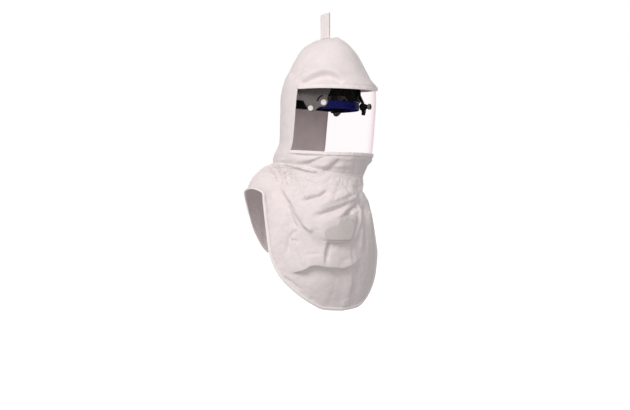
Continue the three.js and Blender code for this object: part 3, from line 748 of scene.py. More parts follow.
@dataclass(frozen=True)
class HoodForm:
    """The hood's plain outside, as level sections between the neck seam and the crown ridge.

    A section reaches front and back of a common middle and to half either side, on a curve whose
    exponent is fullness. The sections tip towards the rear near the ridge.
    """

    sections: tuple = (
        # up, front, back, half width
        (-190, 122, -124, 107),
        (-157, 140, -126, 116),
        (-145, 149, -126, 120),
        (-131, 152, -122, 119),
        (-117, 154.5, -114, 117),
        (-95, 157.5, -107, 114),
        (-45, 162.5, -105.5, 112.5),
        (15, 166, -104, 112),
        (48, 166, -98, 110),
        (75, 148, -89, 102),
        (97, 136, -77, 93),
        (119, 124.5, -67, 82),
        (141, 112, -57, 69),
        (163, 93.5, -46, 50),
        (175, 80.5, -35, 36),
        (185, 67.5, -18, 17),
        (191, 61, -6, 2.5),
    )
    middle: float = 30.0
    fullness: float = 2.1
    ridge_up: float = 191.0
    ridge_drop: float = 6.0
    ridge_fade: float = 110.0
    ridge_front: float = 67.0
    ridge_long: float = 73.0
    visor_edge: float = math.radians(110)
    visor_slant: float = math.radians(6.5)
    visor_top: float = 45.0
    visor_top_dip: float = 3.0
    visor_top_lift: float = 8.0
    visor_bottom: float = -122.0
    visor_bottom_dip: float = 11.0
    seam_front: float = -188.0
    seam_rise: float = 35.0

    def point(self, turn: Array, up: Array) -> Array:
        """Points at an angle from the front, positive to the hood's left, and a height.

        Args:
            turn: Angles in radians.
            up: Heights before the ridge tips.

        Returns:
            Points in millimetres.
        """
        rows = np.array(self.sections, float)
        front, back, half = (through(rows[:, 0], rows[:, k], up) for k in (1, 2, 3))
        c = np.cos(turn)
        reach = np.where(c > 0, front - self.middle, self.middle - back)
        fwd = self.middle + reach * powered(c, 2 / self.fullness)
        side = half * powered(np.sin(turn), 2 / self.fullness)
        fall = smooth((up - self.ridge_fade) / (self.ridge_up - self.ridge_fade))
        drop = self.ridge_drop * fall * (self.ridge_front - fwd) / self.ridge_long
        return np.stack([side, -fwd, up - drop], axis=-1)

    def top_of_visor(self, turn: Array) -> Array:
        """Height of the visor's top edge: it dips at the front and is drawn up at the left front."""
        lift = self.visor_top_lift * smooth(1.3 * np.sin(1.6 * turn))
        return self.visor_top - self.visor_top_dip * smooth(np.cos(turn)) + lift

    def foot_of_visor(self, turn: Array) -> Array:
        """Height of the visor's bottom edge: it dips at the front."""
        return self.visor_bottom - self.visor_bottom_dip * smooth(0.6 * (1 + np.cos(turn)))

    def edge_of_visor(self, share: Array) -> Array:
        """Angle of the visor's rear edges at a share of its height from the top: they lean back downwards."""
        return self.visor_edge + self.visor_slant * (np.clip(share, 0.0, 1.0) - 0.45)

    def seam(self, turn: Array) -> Array:
        """Height of the neck seam: it rises towards the nape."""
        return self.seam_front + self.seam_rise * smooth(0.5 * (1 - np.cos(turn)))

    def out(self, turn: Array, up: Array) -> Array:
        """Outward normals, from small differences of the form.

        Args:
            turn: Angles in radians.
            up: Heights.

        Returns:
            Unit normals.
        """
        step = 0.01
        across = self.point(turn + step, up) - self.point(turn - step, up)
        rise = self.point(turn, up + 1.0) - self.point(turn, up - 1.0)
        return unit(np.cross(across, rise))


FORM = HoodForm()
DEGREE_MM = 2.1  # a degree of turn on the hood's wall, for the folds' widths


@dataclass(frozen=True)
class QuarterView:
    """The hood drawn from its right front quarter, the side whose folds are known: places across and up."""

    heading: float = math.radians(65)
    distance: float = 3000.0
    eye_up: float = -268.0

    def places(self, points: Array) -> tuple[Array, Array]:
        """Places across and up on the drawing, at the scale of the hood's upright axis.

        Args:
            points: Points in millimetres.

        Returns:
            Places across and places up.
        """
        fwd, right = -points[..., 1], -points[..., 0]
        near = 1 - (fwd * math.cos(self.heading) + right * math.sin(self.heading)) / self.distance
        across = (fwd * math.sin(self.heading) - right * math.cos(self.heading)) / near
        return across, (points[..., 2] - self.eye_up) / near + self.eye_up

    def faces(self, normals: Array) -> Array:
        """How far a surface faces the drawing: smoothstep of its normal's share towards it."""
        towards = -normals[..., 0] * math.sin(self.heading) - normals[..., 1] * math.cos(self.heading)
        return smooth((towards + 0.02) / 0.4)

    def shift(self, points: Array, normals: Array, folds: tuple, at_neck: Array) -> Array:
        """Shift of cloth points by drawn folds: lift along the normal, and hang straight down.

        Near the neck seam the normal gives way to the level direction away from the hood's middle, so the
        cloths on both sides of the seam move together.

        Args:
            points: Plain points.
            normals: Their outward normals.
            folds: Folds with their lines on the drawing.
            at_neck: Share of the level direction at each point.

        Returns:
            Shifts in millimetres.
        """
        level = unit(points * np.array([1.0, 1.0, 0.0]) + np.array([0.0, FORM.middle, 0.0]))
        out = unit(normals * (1 - at_neck[..., None]) + level * at_neck[..., None])
        lift, hang = folded(folds, *self.places(points))
        facing_it = self.faces(out)
        shift = (lift * facing_it)[..., None] * out
        shift[..., 2] -= hang * facing_it
        return shift


QUARTER = QuarterView()
CROWN_FOLDS = (
    # the rolled arch over the visor, the hollow inside it and the shallow one above its rear
    Fold(((-56, 66), (-38, 77), (-16, 92), (8, 101), (30, 103), (50, 96), (64, 83), (78, 70)),
         4.6, 16.0, 4.5),
    Fold(((-52, 64), (-36, 70), (-20, 79), (-4, 86), (14, 90), (34, 90), (50, 84), (62, 75), (74, 68)),
         -10.0, 6.0, 15.0, fade=(0.1, 0.1)),
    Fold(((-80, 82), (-60, 94), (-42, 105), (-16, 113), (6, 118)), -8.0, 10.0, 7.0, fade=(0.15, 0.4)),
)
NECK_FOLDS = (
    # creases of the turned neck under the visor's hem, each with the full cloth above it
    Fold(((-72, -128), (-52, -129), (-27, -133), (5, -131)), -3.0, 3.0, 5.0),
    Fold(((-48, -160), (-27, -152), (-5, -144), (24, -134)), -5.0, 3.5, 9.0),
    Fold(((-67, -150), (-37, -145), (-10, -136)), 3.0, 7.0),
    Fold(((9, -178), (22, -171), (41, -157), (64, -140)), -5.5, 3.5, 10.0),
    Fold(((2, -172), (22, -156), (46, -137)), 3.5, 9.0),
    Fold(((103, -140), (102, -159), (103, -177)), -3.0, 5.0),
    Fold(((124, -140), (125, -162), (127, -188)), -4.0, 6.0),
    Fold(((-76, -160), (-57, -165), (-22, -174), (7, -177)), 3.2, 7.0, 3.5),
    Fold(((-78, -167), (-42, -175), (-18, -181), (9, -185)), -3.5, 3.5, 9.0),
    Fold(((-112, -150), (-100, -166), (-92, -184)), 3.0, 6.0),
    Fold(((-30, -156), (30, -160), (80, -160), (112, -158)), 3.5, 16.0, 6.0),
    Fold(((-100, -146), (-90, -158), (-84, -172)), -3.0, 5.0),
)
BIB_FOLDS = (
    # gathers at the near shoulder
    Fold(((-121, -180), (-117, -206)), -4.0, 3.0),
    Fold(((-114, -176), (-109, -208)), 3.6, 3.0),
    Fold(((-107, -174), (-102, -212)), -4.4, 3.0),
    Fold(((-100, -172), (-95, -214)), 4.0, 3.0),
    Fold(((-93, -174), (-89, -216)), -4.4, 3.0),
    Fold(((-86, -178), (-83, -214)), 3.6, 3.0),
    Fold(((-79, -180), (-76, -206)), -2.6, 3.0),
    # the roll down the near edge of the pouch and the hollow outside it
    Fold(((-103, -216), (-84, -241), (-69, -265), (-57, -295), (-37, -324), (-10, -345)), 9.0, 10.0, 4.0,
         fade=(0.2, 0.1)),
    Fold(((-108, -226), (-86, -260), (-74, -295), (-67, -319), (-47, -339)), -7.0, 5.0, 13.0),
    # swags across the pouch: the full cloth, then the crease below it
    Fold(((-47, -246), (-18, -238), (7, -228), (27, -214)), 3.5, 10.0),
    Fold(((-49, -261), (-20, -252), (8, -244), (30, -226)), -8.5, 4.5, 9.0),
    Fold(((-10, -280), (22, -262), (56, -247), (91, -233), (105, -224)), 6.0, 11.0, 8.0),
    Fold(((-18, -304), (11, -294), (34, -285), (56, -277), (93, -260), (115, -250)), -11.0, 6.0, 12.0),
    Fold(((46, -307), (68, -282), (93, -256), (110, -248)), 5.0, 9.0, 6.0),
    Fold(((69, -302), (86, -283), (100, -272), (118, -259)), -11.0, 4.5, 8.0),
    # upright folds on the far side of the pouch
    Fold(((113, -241), (110, -265), (105, -290), (103, -324), (97, -349)), -4.0, 7.0),
    Fold(((120, -285), (119, -320), (118, -360), (117, -410)), 5.0, 7.0),
    Fold(((133, -262), (134, -312), (135, -360), (133, -410)), -7.0, 6.0),
    # the slit below the label with its near side standing over its far side, and the panel beside it
    Fold(((14, -431), (19, -397), (26, -366)), 8.0, 2.0, 12.0, FoldKind.LIP, 0.0, (0.35, 0.12)),
    Fold(((19, -429), (26, -397), (33, -370)), -6.5, 12.0, 5.0, FoldKind.ROLL, 0.0, (0.4, 0.1)),
    Fold(((38, -384), (59, -397), (76, -416)), 3.0, 15.0),
    Fold(((93, -384), (94, -404), (92, -424)), -3.0, 5.0),
    # the swag's lip right across and the hollow under it
    Fold(((-84, -461), (-57, -451), (-32, -442), (-18, -433), (-5, -430), (19, -435), (68, -438), (91, -429),
          (127, -410)), 10.0, 3.2, 34.0, FoldKind.LIP, 6.0, (0.2, 0.2)),
    Fold(((-67, -464), (-32, -456), (-5, -446), (32, -451), (76, -451), (98, -441)), -6.5, 5.0, 24.0),
    # the long middle ridge with its shaded side, and small creases
    Fold(((89, -426), (92, -461), (89, -490), (79, -534), (76, -551)), 4.0, 5.0, 10.0, fade=(0.2, 0.05)),
    Fold(((100, -431), (105, -461), (103, -490), (93, -524)), -4.0, 12.0, 7.0),
    Fold(((-55, -334), (-76, -354), (-80, -372), (-84, -406)), -6.5, 4.0, 7.0, fade=(0.15, 0.3)),
    Fold(((-59, -367), (-52, -392), (-42, -421), (-36, -438)), 4.0, 7.0, 5.0),
    Fold(((-78, -369), (-66, -365), (-54, -369)), -3.5, 3.0),
    Fold(((-104, -461), (-75, -478), (-41, -504)), -3.5, 3.0, 6.0),
    Fold(((-26, -532), (-10, -523)), -2.0, 3.0),
    Fold(((75, -529), (77, -551)), -2.0, 2.5, fade=(0.4, 0.02)),
    Fold(((82, -532), (84, -551)), 2.0, 2.5, fade=(0.4, 0.02)),
    Fold(((-37, -405), (-18, -403), (7, -402)), -2.0, 4.0),
)


@dataclass
class HoodCloth:
    """The crown, sides, back and yoke: one cloth with the window for the visor."""

    thick: float = 1.2
    front_columns: int = 110
    back_columns: int = 50
    crown_rows: int = 72
    window_rows: int = 56
    yoke_rows: int = 26
    casing: float = 13.0
    casing_out: float = 1.0
    crease_out: float = 1.6  # the pressed crease down the crown's front, its half width and its ends
    crease_half: float = 3.0
    crease_foot: float = 50.0
    crease_top: float = 188.0
    wide_facets: Facets = Facets(1.4, 46.0, 3)
    small_facets: Facets = Facets(0.9, 19.0, 5)
    facets_middle: float = 1.4
    crisp_below: float = -125.0  # the yoke and the back are more crumpled than the rest
    crisp_behind: float = 112.0
    seam_blend: float = 14.0
    seam_size: tuple = (3.6, 2.8)
    folds: tuple = (
        # the far side's arch, the slack of the back and the far side's yoke
        Fold(((46, 66), (60, 82), (78, 86), (96, 78), (108, 56)), -4.0, 5.0, 15.0),
        Fold(((150, 60), (163, -40), (170, -130)), 3.5, 13.0),
        Fold(((-150, 70), (-158, -30), (-156, -120)), -2.6, 16.0, fade=(0.2, 0.1)),
        Fold(((178, 90), (178, -20), (180, -120)), -1.2, 16.0, fade=(0.3, 0.3)),
        Fold(((124, 50), (128, -40), (122, -120)), 2.5, 9.0),
        Fold(((30, -138), (42, -156), (50, -178)), 3.5, 7.0),
        Fold(((70, -140), (84, -152), (100, -160)), 3.5, 7.0),
    )

    def grid(self) -> tuple[Array, Array]:
        """Angles and heights of the cloth's rows and columns.

        Columns run from the front round the hood's left, even on both sides of the visor's rear edges.
        Crown rows follow ridge + (top - ridge) * share^1.6; the window's and the yoke's are even.

        Returns:
            Angles and heights.
        """
        crown = np.linspace(0, 1, self.crown_rows + 1)[:, None] ** 1.6
        window = np.linspace(0, 1, self.window_rows + 1)[1:, None]
        yoke = np.linspace(0, 1, self.yoke_rows + 1)[1:, None]
        edge = FORM.edge_of_visor(np.concatenate([crown * 0, window, yoke * 0 + 1]))
        ahead = np.linspace(0, 1, self.front_columns + 1)
        behind = np.linspace(0, 1, self.back_columns + 1)[1:]
        half = np.concatenate([edge * ahead, edge + (math.pi - edge) * behind], axis=1)
        turn = np.concatenate([half, -half[:, -2:0:-1]], axis=1)
        top, foot, seam = FORM.top_of_visor(turn), FORM.foot_of_visor(turn), FORM.seam(turn)
        first, last = self.crown_rows + 1, self.crown_rows + self.window_rows + 1
        return turn, np.concatenate([
            FORM.ridge_up + (top - FORM.ridge_up)[:first] * crown,
            (top + (foot - top) * np.pad(window, ((first, self.yoke_rows), (0, 0))))[first:last],
            (foot + (seam - foot) * np.pad(yoke, ((last, 0), (0, 0))))[last:],
        ])

    def shifts(self, points: Array, normals: Array, turn: Array, up: Array) -> Array:
        """Shift of each point: folds, the stitched casing over the visor, the front crease and crumpling.

        Args:
            points: Plain points.
            normals: Their outward normals.
            turn: Their angles.
            up: Their heights.

        Returns:
            Shifts in millimetres.
        """
        degrees = np.degrees(turn)
        lift, _ = folded(
            tuple(replace(f, line=tuple((a * DEGREE_MM, b) for a, b in f.line)) for f in self.folds),
            degrees * DEGREE_MM, up)
        top, foot, seam = FORM.top_of_visor(turn), FORM.foot_of_visor(turn), FORM.seam(turn)
        in_front = np.abs(turn) <= FORM.edge_of_visor((top - up) / (top - foot)) + 0.02
        clear = np.where(in_front, smooth((up - top - 3) / 8) + smooth((foot - 2 - up) / 6), 1.0)
        at_seam = smooth((self.seam_blend - up + seam) / self.seam_blend)
        drawn = QUARTER.shift(points, normals, CROWN_FOLDS + NECK_FOLDS, at_seam)
        casing = self.casing_out * smooth((top + self.casing - up) / 2.5 + 0.5) * (up > top - 1)
        crease = self.crease_out * np.exp(-((degrees * DEGREE_MM / self.crease_half) ** 2))
        crease = crease * smooth((up - self.crease_foot) / 25) * smooth((self.crease_top - up) / 20)
        crisp = 0.25 + 0.7 * smooth((self.crisp_below - up) / 20)
        crisp = crisp + 0.25 * smooth((np.abs(degrees) - self.crisp_behind) / 20)
        facets = self.wide_facets.height(points) + self.small_facets.height(points) - self.facets_middle
        facets = crisp * facets
        seam_fade = smooth((up - seam) / 6)
        edge_fade = np.where(in_front, smooth(np.abs(up - top) / 5) * smooth(np.abs(up - foot) / 5), 1.0)
        lift = (lift * clear + crease + facets * edge_fade) * seam_fade + casing * in_front
        return lift[..., None] * normals + drawn * clear[..., None]

    def build(self) -> bpy.types.Object:
        """Builds the cloth: form + shift, without the window's cells, the ridge closed side to side.

        Returns:
            The cloth.
        """
        turn, up = self.grid()
        plain = FORM.point(turn, up)
        normals = grid_normals(plain, True)
        points = plain + self.shifts(plain, normals, turn, up)
        rows, columns = up.shape
        quads = grid_quads(rows, columns, True)
        row, cell = np.meshgrid(np.arange(rows - 1), np.arange(columns), indexing="ij")
        band = (row >= self.crown_rows) & (row < self.crown_rows + self.window_rows)
        window = band & ((cell < self.front_columns) | (cell >= columns - self.front_columns))
        k = np.arange(1, columns // 2 - 1)
        ridge = [[0, 1, columns - 1], [columns // 2 - 1, columns // 2, columns // 2 + 1]]
        ridge += np.stack([k, k + 1, columns - k - 1, columns - k], axis=1).tolist()
        a, b, c = (points[0, i] for i in ridge[0])
        if np.cross(b - a, c - a)[2] < 0:
            ridge = [face[::-1] for face in ridge]
        piece = cloth_piece("hood_cloth", points, normals, self.thick, quads[~window], tuple(ridge))
        dress(piece, HOOD_CLOTH, Body.HOOD, "hood_cloth", "hood_shell")
        return piece

    def seam_ring(self) -> bpy.types.Object:
        """Builds the felled neck seam: a thin flat oval carried round the seam line, moved with the folds.

        Returns:
            The seam.
        """
        turn = np.linspace(-math.pi, math.pi, 361)[:-1]
        up = FORM.seam(turn)
        path = FORM.point(turn, up)
        out = FORM.out(turn, up)
        path = path + QUARTER.shift(path, out, NECK_FOLDS + BIB_FOLDS, np.ones(len(turn)))
        puckers = 1 + 0.1 * np.sin(turn * 47) + 0.08 * np.sin(turn * 83)
        profile = rounded(*self.seam_size, 2.6, 12)[None] * puckers[:, None, None]
        across = unit(np.cross(out, np.roll(path, -1, 0) - np.roll(path, 1, 0)))
        piece = swept_piece("neck_seam", path, across, out, profile, True)
        return dress(piece, BINDING_CLOTH, Body.HOOD, "hood_cloth")

    def casing_stitches(self) -> bpy.types.Object:
        """Builds the stitch row along the upper edge of the casing over the visor.

        Returns:
            The stitches.
        """
        turn = np.linspace(-FORM.visor_edge * 0.97, FORM.visor_edge * 0.97, 240)
        up = FORM.top_of_visor(turn) + self.casing - 2.0
        out = FORM.out(turn, up)
        path = FORM.point(turn, up) + out * (self.casing_out + 0.05)
        return dress(stitched("casing_stitches", path, out, 2.9), THREAD, Body.HOOD, "hem_tape")


@dataclass
class Visor:
    """The clear film in the hood's window and the bound hems along its upper and lower edges."""

    film: float = 1.0
    under: float = 5.0
    tuck: float = math.radians(2.2)
    inset: float = 1.7
    top_hem: tuple = (9.0, 3.0)
    foot_hem: tuple = (9.0, 2.8)
    stitch_row: float = 2.4

    def build_film(self) -> bpy.types.Object:
        """Builds the film: the hood's form, a little inside the cloth, tucked under the window's edges.

        Returns:
            The film.
        """
        across, share = np.meshgrid(np.linspace(-1, 1, 200), np.linspace(0, 1, 50))
        turn = across * (FORM.edge_of_visor(share) + self.tuck)
        top, foot = FORM.top_of_visor(turn) + self.under, FORM.foot_of_visor(turn) - self.under
        up = top + (foot - top) * share
        plain = FORM.point(turn, up)
        normals = grid_normals(plain)
        ripple = 0.25 * np.sin(turn * 9 + share * 2.0) * np.sin(share * math.pi)
        points = plain + (ripple - self.inset)[..., None] * normals
        piece = cloth_piece("visor_film", points, normals, self.film)
        return dress(piece, VISOR_FILM, Body.HOOD, "visor_film", "visor")

    def hem(self, name: str, line: Callable[[Array], Array], share: float, size: tuple, lift: float,
            node: str) -> list:
        """Builds a bound hem, a rounded tape carried along a line, and its stitch row.

        Args:
            name: Name of the hem.
            line: Height of its middle for each angle.
            share: Share of the visor's height from its top where the hem runs.
            size: Width and thickness of the tape.
            lift: How far its middle stands out from the form.
            node: The node that it replaces.

        Returns:
            The hem and its stitches.
        """
        edge = FORM.edge_of_visor(np.array(share))
        turn = np.linspace(-edge, edge, 260)
        up = line(turn)
        out = FORM.out(turn, up)
        wander = 0.25 * np.sin(turn * 31) + 0.2 * np.sin(turn * 53 + 1)
        path = FORM.point(turn, up) + out * (lift + wander)[:, None]
        across = unit(np.cross(out, np.gradient(path, axis=0)))
        taper = smooth((edge - np.abs(turn)) / 0.06) * 0.4 + 0.6
        profile = rounded(*size, 3.2, 20)[None] * taper[:, None, None]
        tape = dress(swept_piece(name, path, across, out, profile), HEM_CLOTH, Body.HOOD, "hem_tape", node)
        row = path + across * self.stitch_row + out * size[1] * 0.48
        stitches = stitched(name + "_stitches", row, out)
        return [tape, dress(stitches, THREAD, Body.HOOD, "hem_tape")]

    def build(self) -> list:
        """Builds the film and both hems.

        Returns:
            The hems and their stitches.
        """
        self.build_film()
        brow = self.hem("visor_brow_hem", FORM.top_of_visor, 0.0, self.top_hem, 1.6, "visor_top_hem")
        chin = self.hem("visor_chin_hem", FORM.foot_of_visor, 1.0, self.foot_hem, 1.4, "visor_bottom_hem")
        return brow + chin


# Bibs


@dataclass(frozen=True)
class BibForm:
    """The bibs' plain outside, as ribs from the neck seam over the body to the hem.

    A rib is the quadratic through its place on the neck seam, the point where it rests and its hem. Ribs
    count from the front middle, negative on the hood's right. Forward and sideways are in the bib's own
    directions, turned from the hood's.
    """

    ribs: tuple = (
        # neck angle, rest: forward, sideways, up, hem: forward, sideways, up
        (0, 146, 0, -330, 106, 0, -549),
        (16, 142, 46, -330, 99, 55, -544),
        (30, 128, 84, -322, 86, 103, -520),
        (42, 100, 108, -306, 66, 142, -486),
        (54, 72, 124, -285, 46, 171, -445),
        (64, 50, 130, -260, 30, 187, -385),
        (74, 30, 128, -238, 14, 186, -315),
        (84, 8, 122, -220, -2, 182, -262),
        (93, -16, 118, -212, -15, 177, -236),
        (103, -50, 123, -201, -58, 181, -224),
        (114, -84, 133, -192, -98, 174, -230),
        (126, -114, 136, -190, -126, 148, -270),
        (140, -138, 102, -222, -142, 110, -345),
        (158, -150, 54, -260, -148, 62, -400),
        (180, -154, 0, -280, -150, 0, -418),
    )
    shoulder: float = 8.0
    back_middle: float = 14.0
    turn: float = math.radians(-27)
    neck_share: float = 0.75
    rest_at: float = 0.45

    def turned(self, fwd: Array, side: Array, up: Array) -> Array:
        """Points in the row frame of places in the bib's own directions."""
        c, s = math.cos(self.turn), math.sin(self.turn)
        return np.stack([side * c + fwd * s, side * s - fwd * c, up], axis=-1)

    def sideways(self, points: Array) -> Array:
        """Sideways places of points in the bib's own directions."""
        return points[..., 0] * math.cos(self.turn) + points[..., 1] * math.sin(self.turn)

    def point(self, rib: Array, along: Array) -> Array:
        """Points at a rib and a share along it.

        Args:
            rib: Rib numbers.
            along: Shares from the neck seam, 0, to the hem, 1.

        Returns:
            Points in millimetres.
        """
        rows = np.array(self.ribs, float)
        count, hand = np.arange(len(rows)), np.where(rib < 0, -1.0, 1.0)
        at = [through(count, rows[:, k], np.abs(rib)) for k in range(7)]
        turn = np.radians(at[0]) * hand + self.turn * self.neck_share
        seam = FORM.seam(turn)
        neck = FORM.point(turn, seam)
        rest = self.turned(at[1], at[2] * hand, at[3])
        hem = self.turned(at[4], at[5] * hand, at[6])
        r = self.rest_at
        at_neck = (along - r) * (along - 1) / r
        at_rest = along * (along - 1) / (r * (r - 1))
        at_hem = along * (along - r) / (1 - r)
        return at_neck[..., None] * neck + at_rest[..., None] * rest + at_hem[..., None] * hem

    def locate(self, across: Array, up: Array) -> tuple[Array, Array]:
        """Ribs and shares of places on the drawing of the front bib, by Newton's method from its middle.

        Args:
            across: Places across the drawing.
            up: Places up the drawing.

        Returns:
            Rib numbers and shares along them.
        """
        rib, along = (across - 80) / 60.0, np.clip((-185 - up) / 360, 0.1, 0.9)
        step = 0.01
        for _ in range(14):
            a0, b0 = QUARTER.places(self.point(rib, along))
            a1, b1 = QUARTER.places(self.point(rib + step, along))
            a2, b2 = QUARTER.places(self.point(rib, along + step))
            a, b, c, d = (a1 - a0) / step, (a2 - a0) / step, (b1 - b0) / step, (b2 - b0) / step
            miss_across, miss_up, size = across - a0, up - b0, a * d - b * c
            rib = np.clip(rib + np.clip((d * miss_across - b * miss_up) / size, -1, 1), -7.9, 7.9)
            along = np.clip(along + np.clip((a * miss_up - c * miss_across) / size, -0.2, 0.2), 0.02, 0.98)
        return rib, along


BIB = BibForm()


@dataclass(frozen=True)
class Pouch:
    """The slack cloth below the neck that hangs in a rounded pouch: |x|^3 + |y|^3 < 1 about its middle."""

    middle: float = -45.0
    half: float = 80.0
    top: float = -230.0
    depth: float = 131.0
    swell: float = 12.0
    roll: float = 10.0
    hang: float = 9.0
    start: float = -196.0
    ease_at: float = -100.0
    ease_half: float = 20.0

    def lift(self, side: Array, up: Array) -> tuple[Array, Array]:
        """How far the pouch swells out and hangs down at each place.

        Args:
            side: Sideways places in the bib's own directions.
            up: Heights.

        Returns:
            How far it swells and how far it hangs.
        """
        across = np.abs(side - self.middle) / self.half
        down = np.maximum(0.0, self.top - up) / self.depth
        within = (1 - np.cbrt(across**3 + down**3)) * self.half
        slack = smooth((self.start - up) / 110)
        ease = np.exp(-(((side - self.ease_at) / self.ease_half) ** 2)) * smooth((down - 0.5) / 0.3)
        edge = smooth(0.5 + within / (self.roll * (1 + 2.0 * ease)))
        low = smooth((down - 0.45) / 0.4) * (1 - 0.85 * ease)
        at_edge = np.exp(-((within / (2.2 * self.roll)) ** 2))
        return self.swell * slack * edge, self.hang * low * edge * at_edge


@dataclass
class Bibs:
    """The front and back bib panels, their bound edge and the bare label on the pouch."""

    thick: float = 1.2
    hem: float = 9.0
    sink: float = 6.5  # how far the front bib's far hem draws in, under a binding that curls out
    sink_width: float = 18.0
    curl_turn: float = math.radians(62)
    curl_out: float = 6.4
    tape: tuple = (8.5, 4.2)
    tape_in: float = 2.4
    tape_down: float = 0.2
    stitch_row: float = 4.6
    stitch_out: float = 1.75
    facets_middle: float = 0.6
    pouch: Pouch = Pouch()
    front_folds: tuple = (
        # the far side of the front bib, drawn in beside the neck
        Fold(((24, -205), (44, -240), (62, -275), (74, -300)), -7.0, 22.0),
        Fold(((72, -206), (88, -214), (104, -228), (122, -242)), -17.0, 21.0, fade=(0.1, 0.1)),
        Fold(((66, -320), (84, -370), (96, -430)), -3.5, 10.0),
        Fold(((96, -290), (114, -340), (126, -395)), 4.0, 9.0),
    )
    back_folds: tuple = (
        Fold(((-60, -200), (-66, -280), (-70, -380)), 5.0, 14.0),
        Fold(((-18, -190), (-22, -280), (-26, -390)), -4.0, 15.0),
        Fold(((26, -196), (30, -290), (32, -396)), 5.0, 14.0),
        Fold(((70, -196), (82, -260), (92, -330)), -4.0, 13.0),
        Fold(((110, -200), (126, -230), (140, -262)), 4.0, 12.0),
        Fold(((-112, -200), (-126, -232), (-138, -266)), 4.0, 12.0),
    )
    label_out: float = 3.2
    label_left: tuple = ((-296, 69), (-312, 62), (-322, 46), (-333, 19), (-343, 17), (-355, 23))
    label_right: tuple = ((-296, 98), (-318, 94), (-338, 90), (-349, 86), (-355, 80))

    def outside(self, rib: Array, along: Array, normals: Array, front: bool) -> Array:
        """Points of a panel's outside: the plain form, lifted along its normals and hung down by its folds.

        Args:
            rib: Rib numbers.
            along: Shares along the ribs.
            normals: Outward normals of the plain form.
            front: True for the front bib.

        Returns:
            Points in millimetres.
        """
        plain = BIB.point(rib, along)
        side = BIB.sideways(plain)
        up = plain[..., 2]
        lift, hang = folded(self.front_folds if front else self.back_folds, side, up)
        if front:
            swell, droop = self.pouch.lift(side, up)
            lift, hang = lift + swell, hang + droop
        fade = smooth(along / 0.05) * smooth((1 - along) / 0.05)
        fade = fade * smooth(np.abs(np.abs(rib) - BIB.shoulder) / 0.8)
        drawn = QUARTER.shift(plain, normals, NECK_FOLDS + BIB_FOLDS, smooth((0.1 - along) / 0.1))
        points = plain + (lift * fade)[..., None] * normals + drawn * smooth((1 - along) / 0.03)[..., None]
        points[..., 2] -= hang * fade
        return points

    def panel(self, rib: Array, rows: int, front: bool) -> tuple[Array, Array]:
        """Points and normals of a panel, with faceted creasing and a turned hem.

        Args:
            rib: Rib of each column.
            rows: Number of rows from the seam to the hem.
            front: True for the front bib.

        Returns:
            Grids of points and of outward normals.
        """
        columns, along = np.meshgrid(rib, np.linspace(0, 1, rows) ** 0.96)
        plain = BIB.point(columns, along)
        normals = grid_normals(plain)
        points = self.outside(columns, along, normals, front)
        shaped = grid_normals(points)
        crisp = 0.45 + 0.55 * smooth((0.5 - along) / 0.3)
        crisp = crisp * smooth(along / 0.05) * smooth((1 - along) / 0.04)
        crisp = crisp * smooth(np.abs(np.abs(columns) - BIB.shoulder) / 0.5)
        small = 1.7 + 1.6 * smooth((-3.0 - columns) / 1.5)
        wide = 2.4 * (crumple(plain, 44.0, 11 + front) - self.facets_middle)
        facets = wide + small * (crumple(plain, 18.0, 17 + front) - self.facets_middle)
        edge = np.linalg.norm(points - points[-1:], axis=2)
        hem = 0.8 * smooth((self.hem - edge) / 2.0 + 0.5)
        if front:
            hem -= self.sink * self.curl(columns) * np.exp(-((edge / self.sink_width) ** 2))
        points = points + (facets * crisp + hem)[..., None] * shaped
        return points, grid_normals(points)

    def curl(self, rib: Array) -> Array:
        """Share of the binding's curl at each rib: all on the far side, none at front middle or shoulder."""
        return smooth((rib - 1.4) / 1.8) * smooth((7.5 - rib) / 1.4)

    def binding(self, name: str, points: Array, normals: Array, curl: Array) -> list:
        """Builds the light bound edge of a panel, a rounded tape folded over the hem, with its stitch row.

        Args:
            name: Name of the tape.
            points: The panel's points, its last row being the hem.
            normals: Their outward normals.
            curl: Share of the tape's turn outwards at each place of the hem.

        Returns:
            The tape and its stitches.
        """
        path, out = points[-1], normals[-2]
        tangent = unit(np.gradient(path, axis=0))
        out = unit(out - (out * tangent).sum(1, keepdims=True) * tangent)
        across = np.cross(tangent, out)
        across = across * np.sign((across * (points[-4] - path)).sum())
        thread = stitched(name + "_stitches", path + across * self.stitch_row + out * self.stitch_out, out)
        c, s = np.cos(self.curl_turn * curl)[:, None], np.sin(self.curl_turn * curl)[:, None]
        offset = np.stack([self.tape_in - self.curl_out * curl, 0 * curl - self.tape_down], axis=1)
        profile = rounded(*self.tape, 3.0, 16)[None] + offset[:, None]
        tape = swept_piece(name, path, across * c - out * s, out * c + across * s, profile)
        dress(tape, BINDING_CLOTH, Body.HOOD, "hem_tape")
        return [tape, dress(thread, THREAD, Body.HOOD, "hem_tape")]

    def label(self) -> bpy.types.Object:
        """Builds the bare label: a patch laid on the pouch, its rows running between its two drawn sides.

        Returns:
            The label.
        """
        left, right = np.array(self.label_left, float)[::-1], np.array(self.label_right, float)[::-1]
        share, up = np.meshgrid(np.linspace(0, 1, 60), np.linspace(left[-1, 0], left[0, 0], 60))
        near, far = through(left[:, 0], left[:, 1], up), through(right[:, 0], right[:, 1], up)
        u, v = share * 2 - 1, (up - up.min()) / (up.max() - up.min()) * 2 - 1
        rib, along = BIB.locate(near + (far - near) * share, up)
        plain_normals = grid_normals(BIB.point(rib, along))
        points = self.outside(rib, along, plain_normals, True)
        normals = grid_normals(points)
        pressed = 0.5 * smooth((np.maximum(np.abs(u), np.abs(v)) - 0.9) / 0.1)
        raised = points + (self.label_out - pressed)[..., None] * normals
        uv = np.stack([near + (far - near) * share, up], axis=2) * MM
        piece = cloth_piece("label_cloth", raised, normals, 1.0, uv=uv)
        return dress(piece, LABEL_CLOTH, Body.HOOD, "label_cloth", "label_patch")

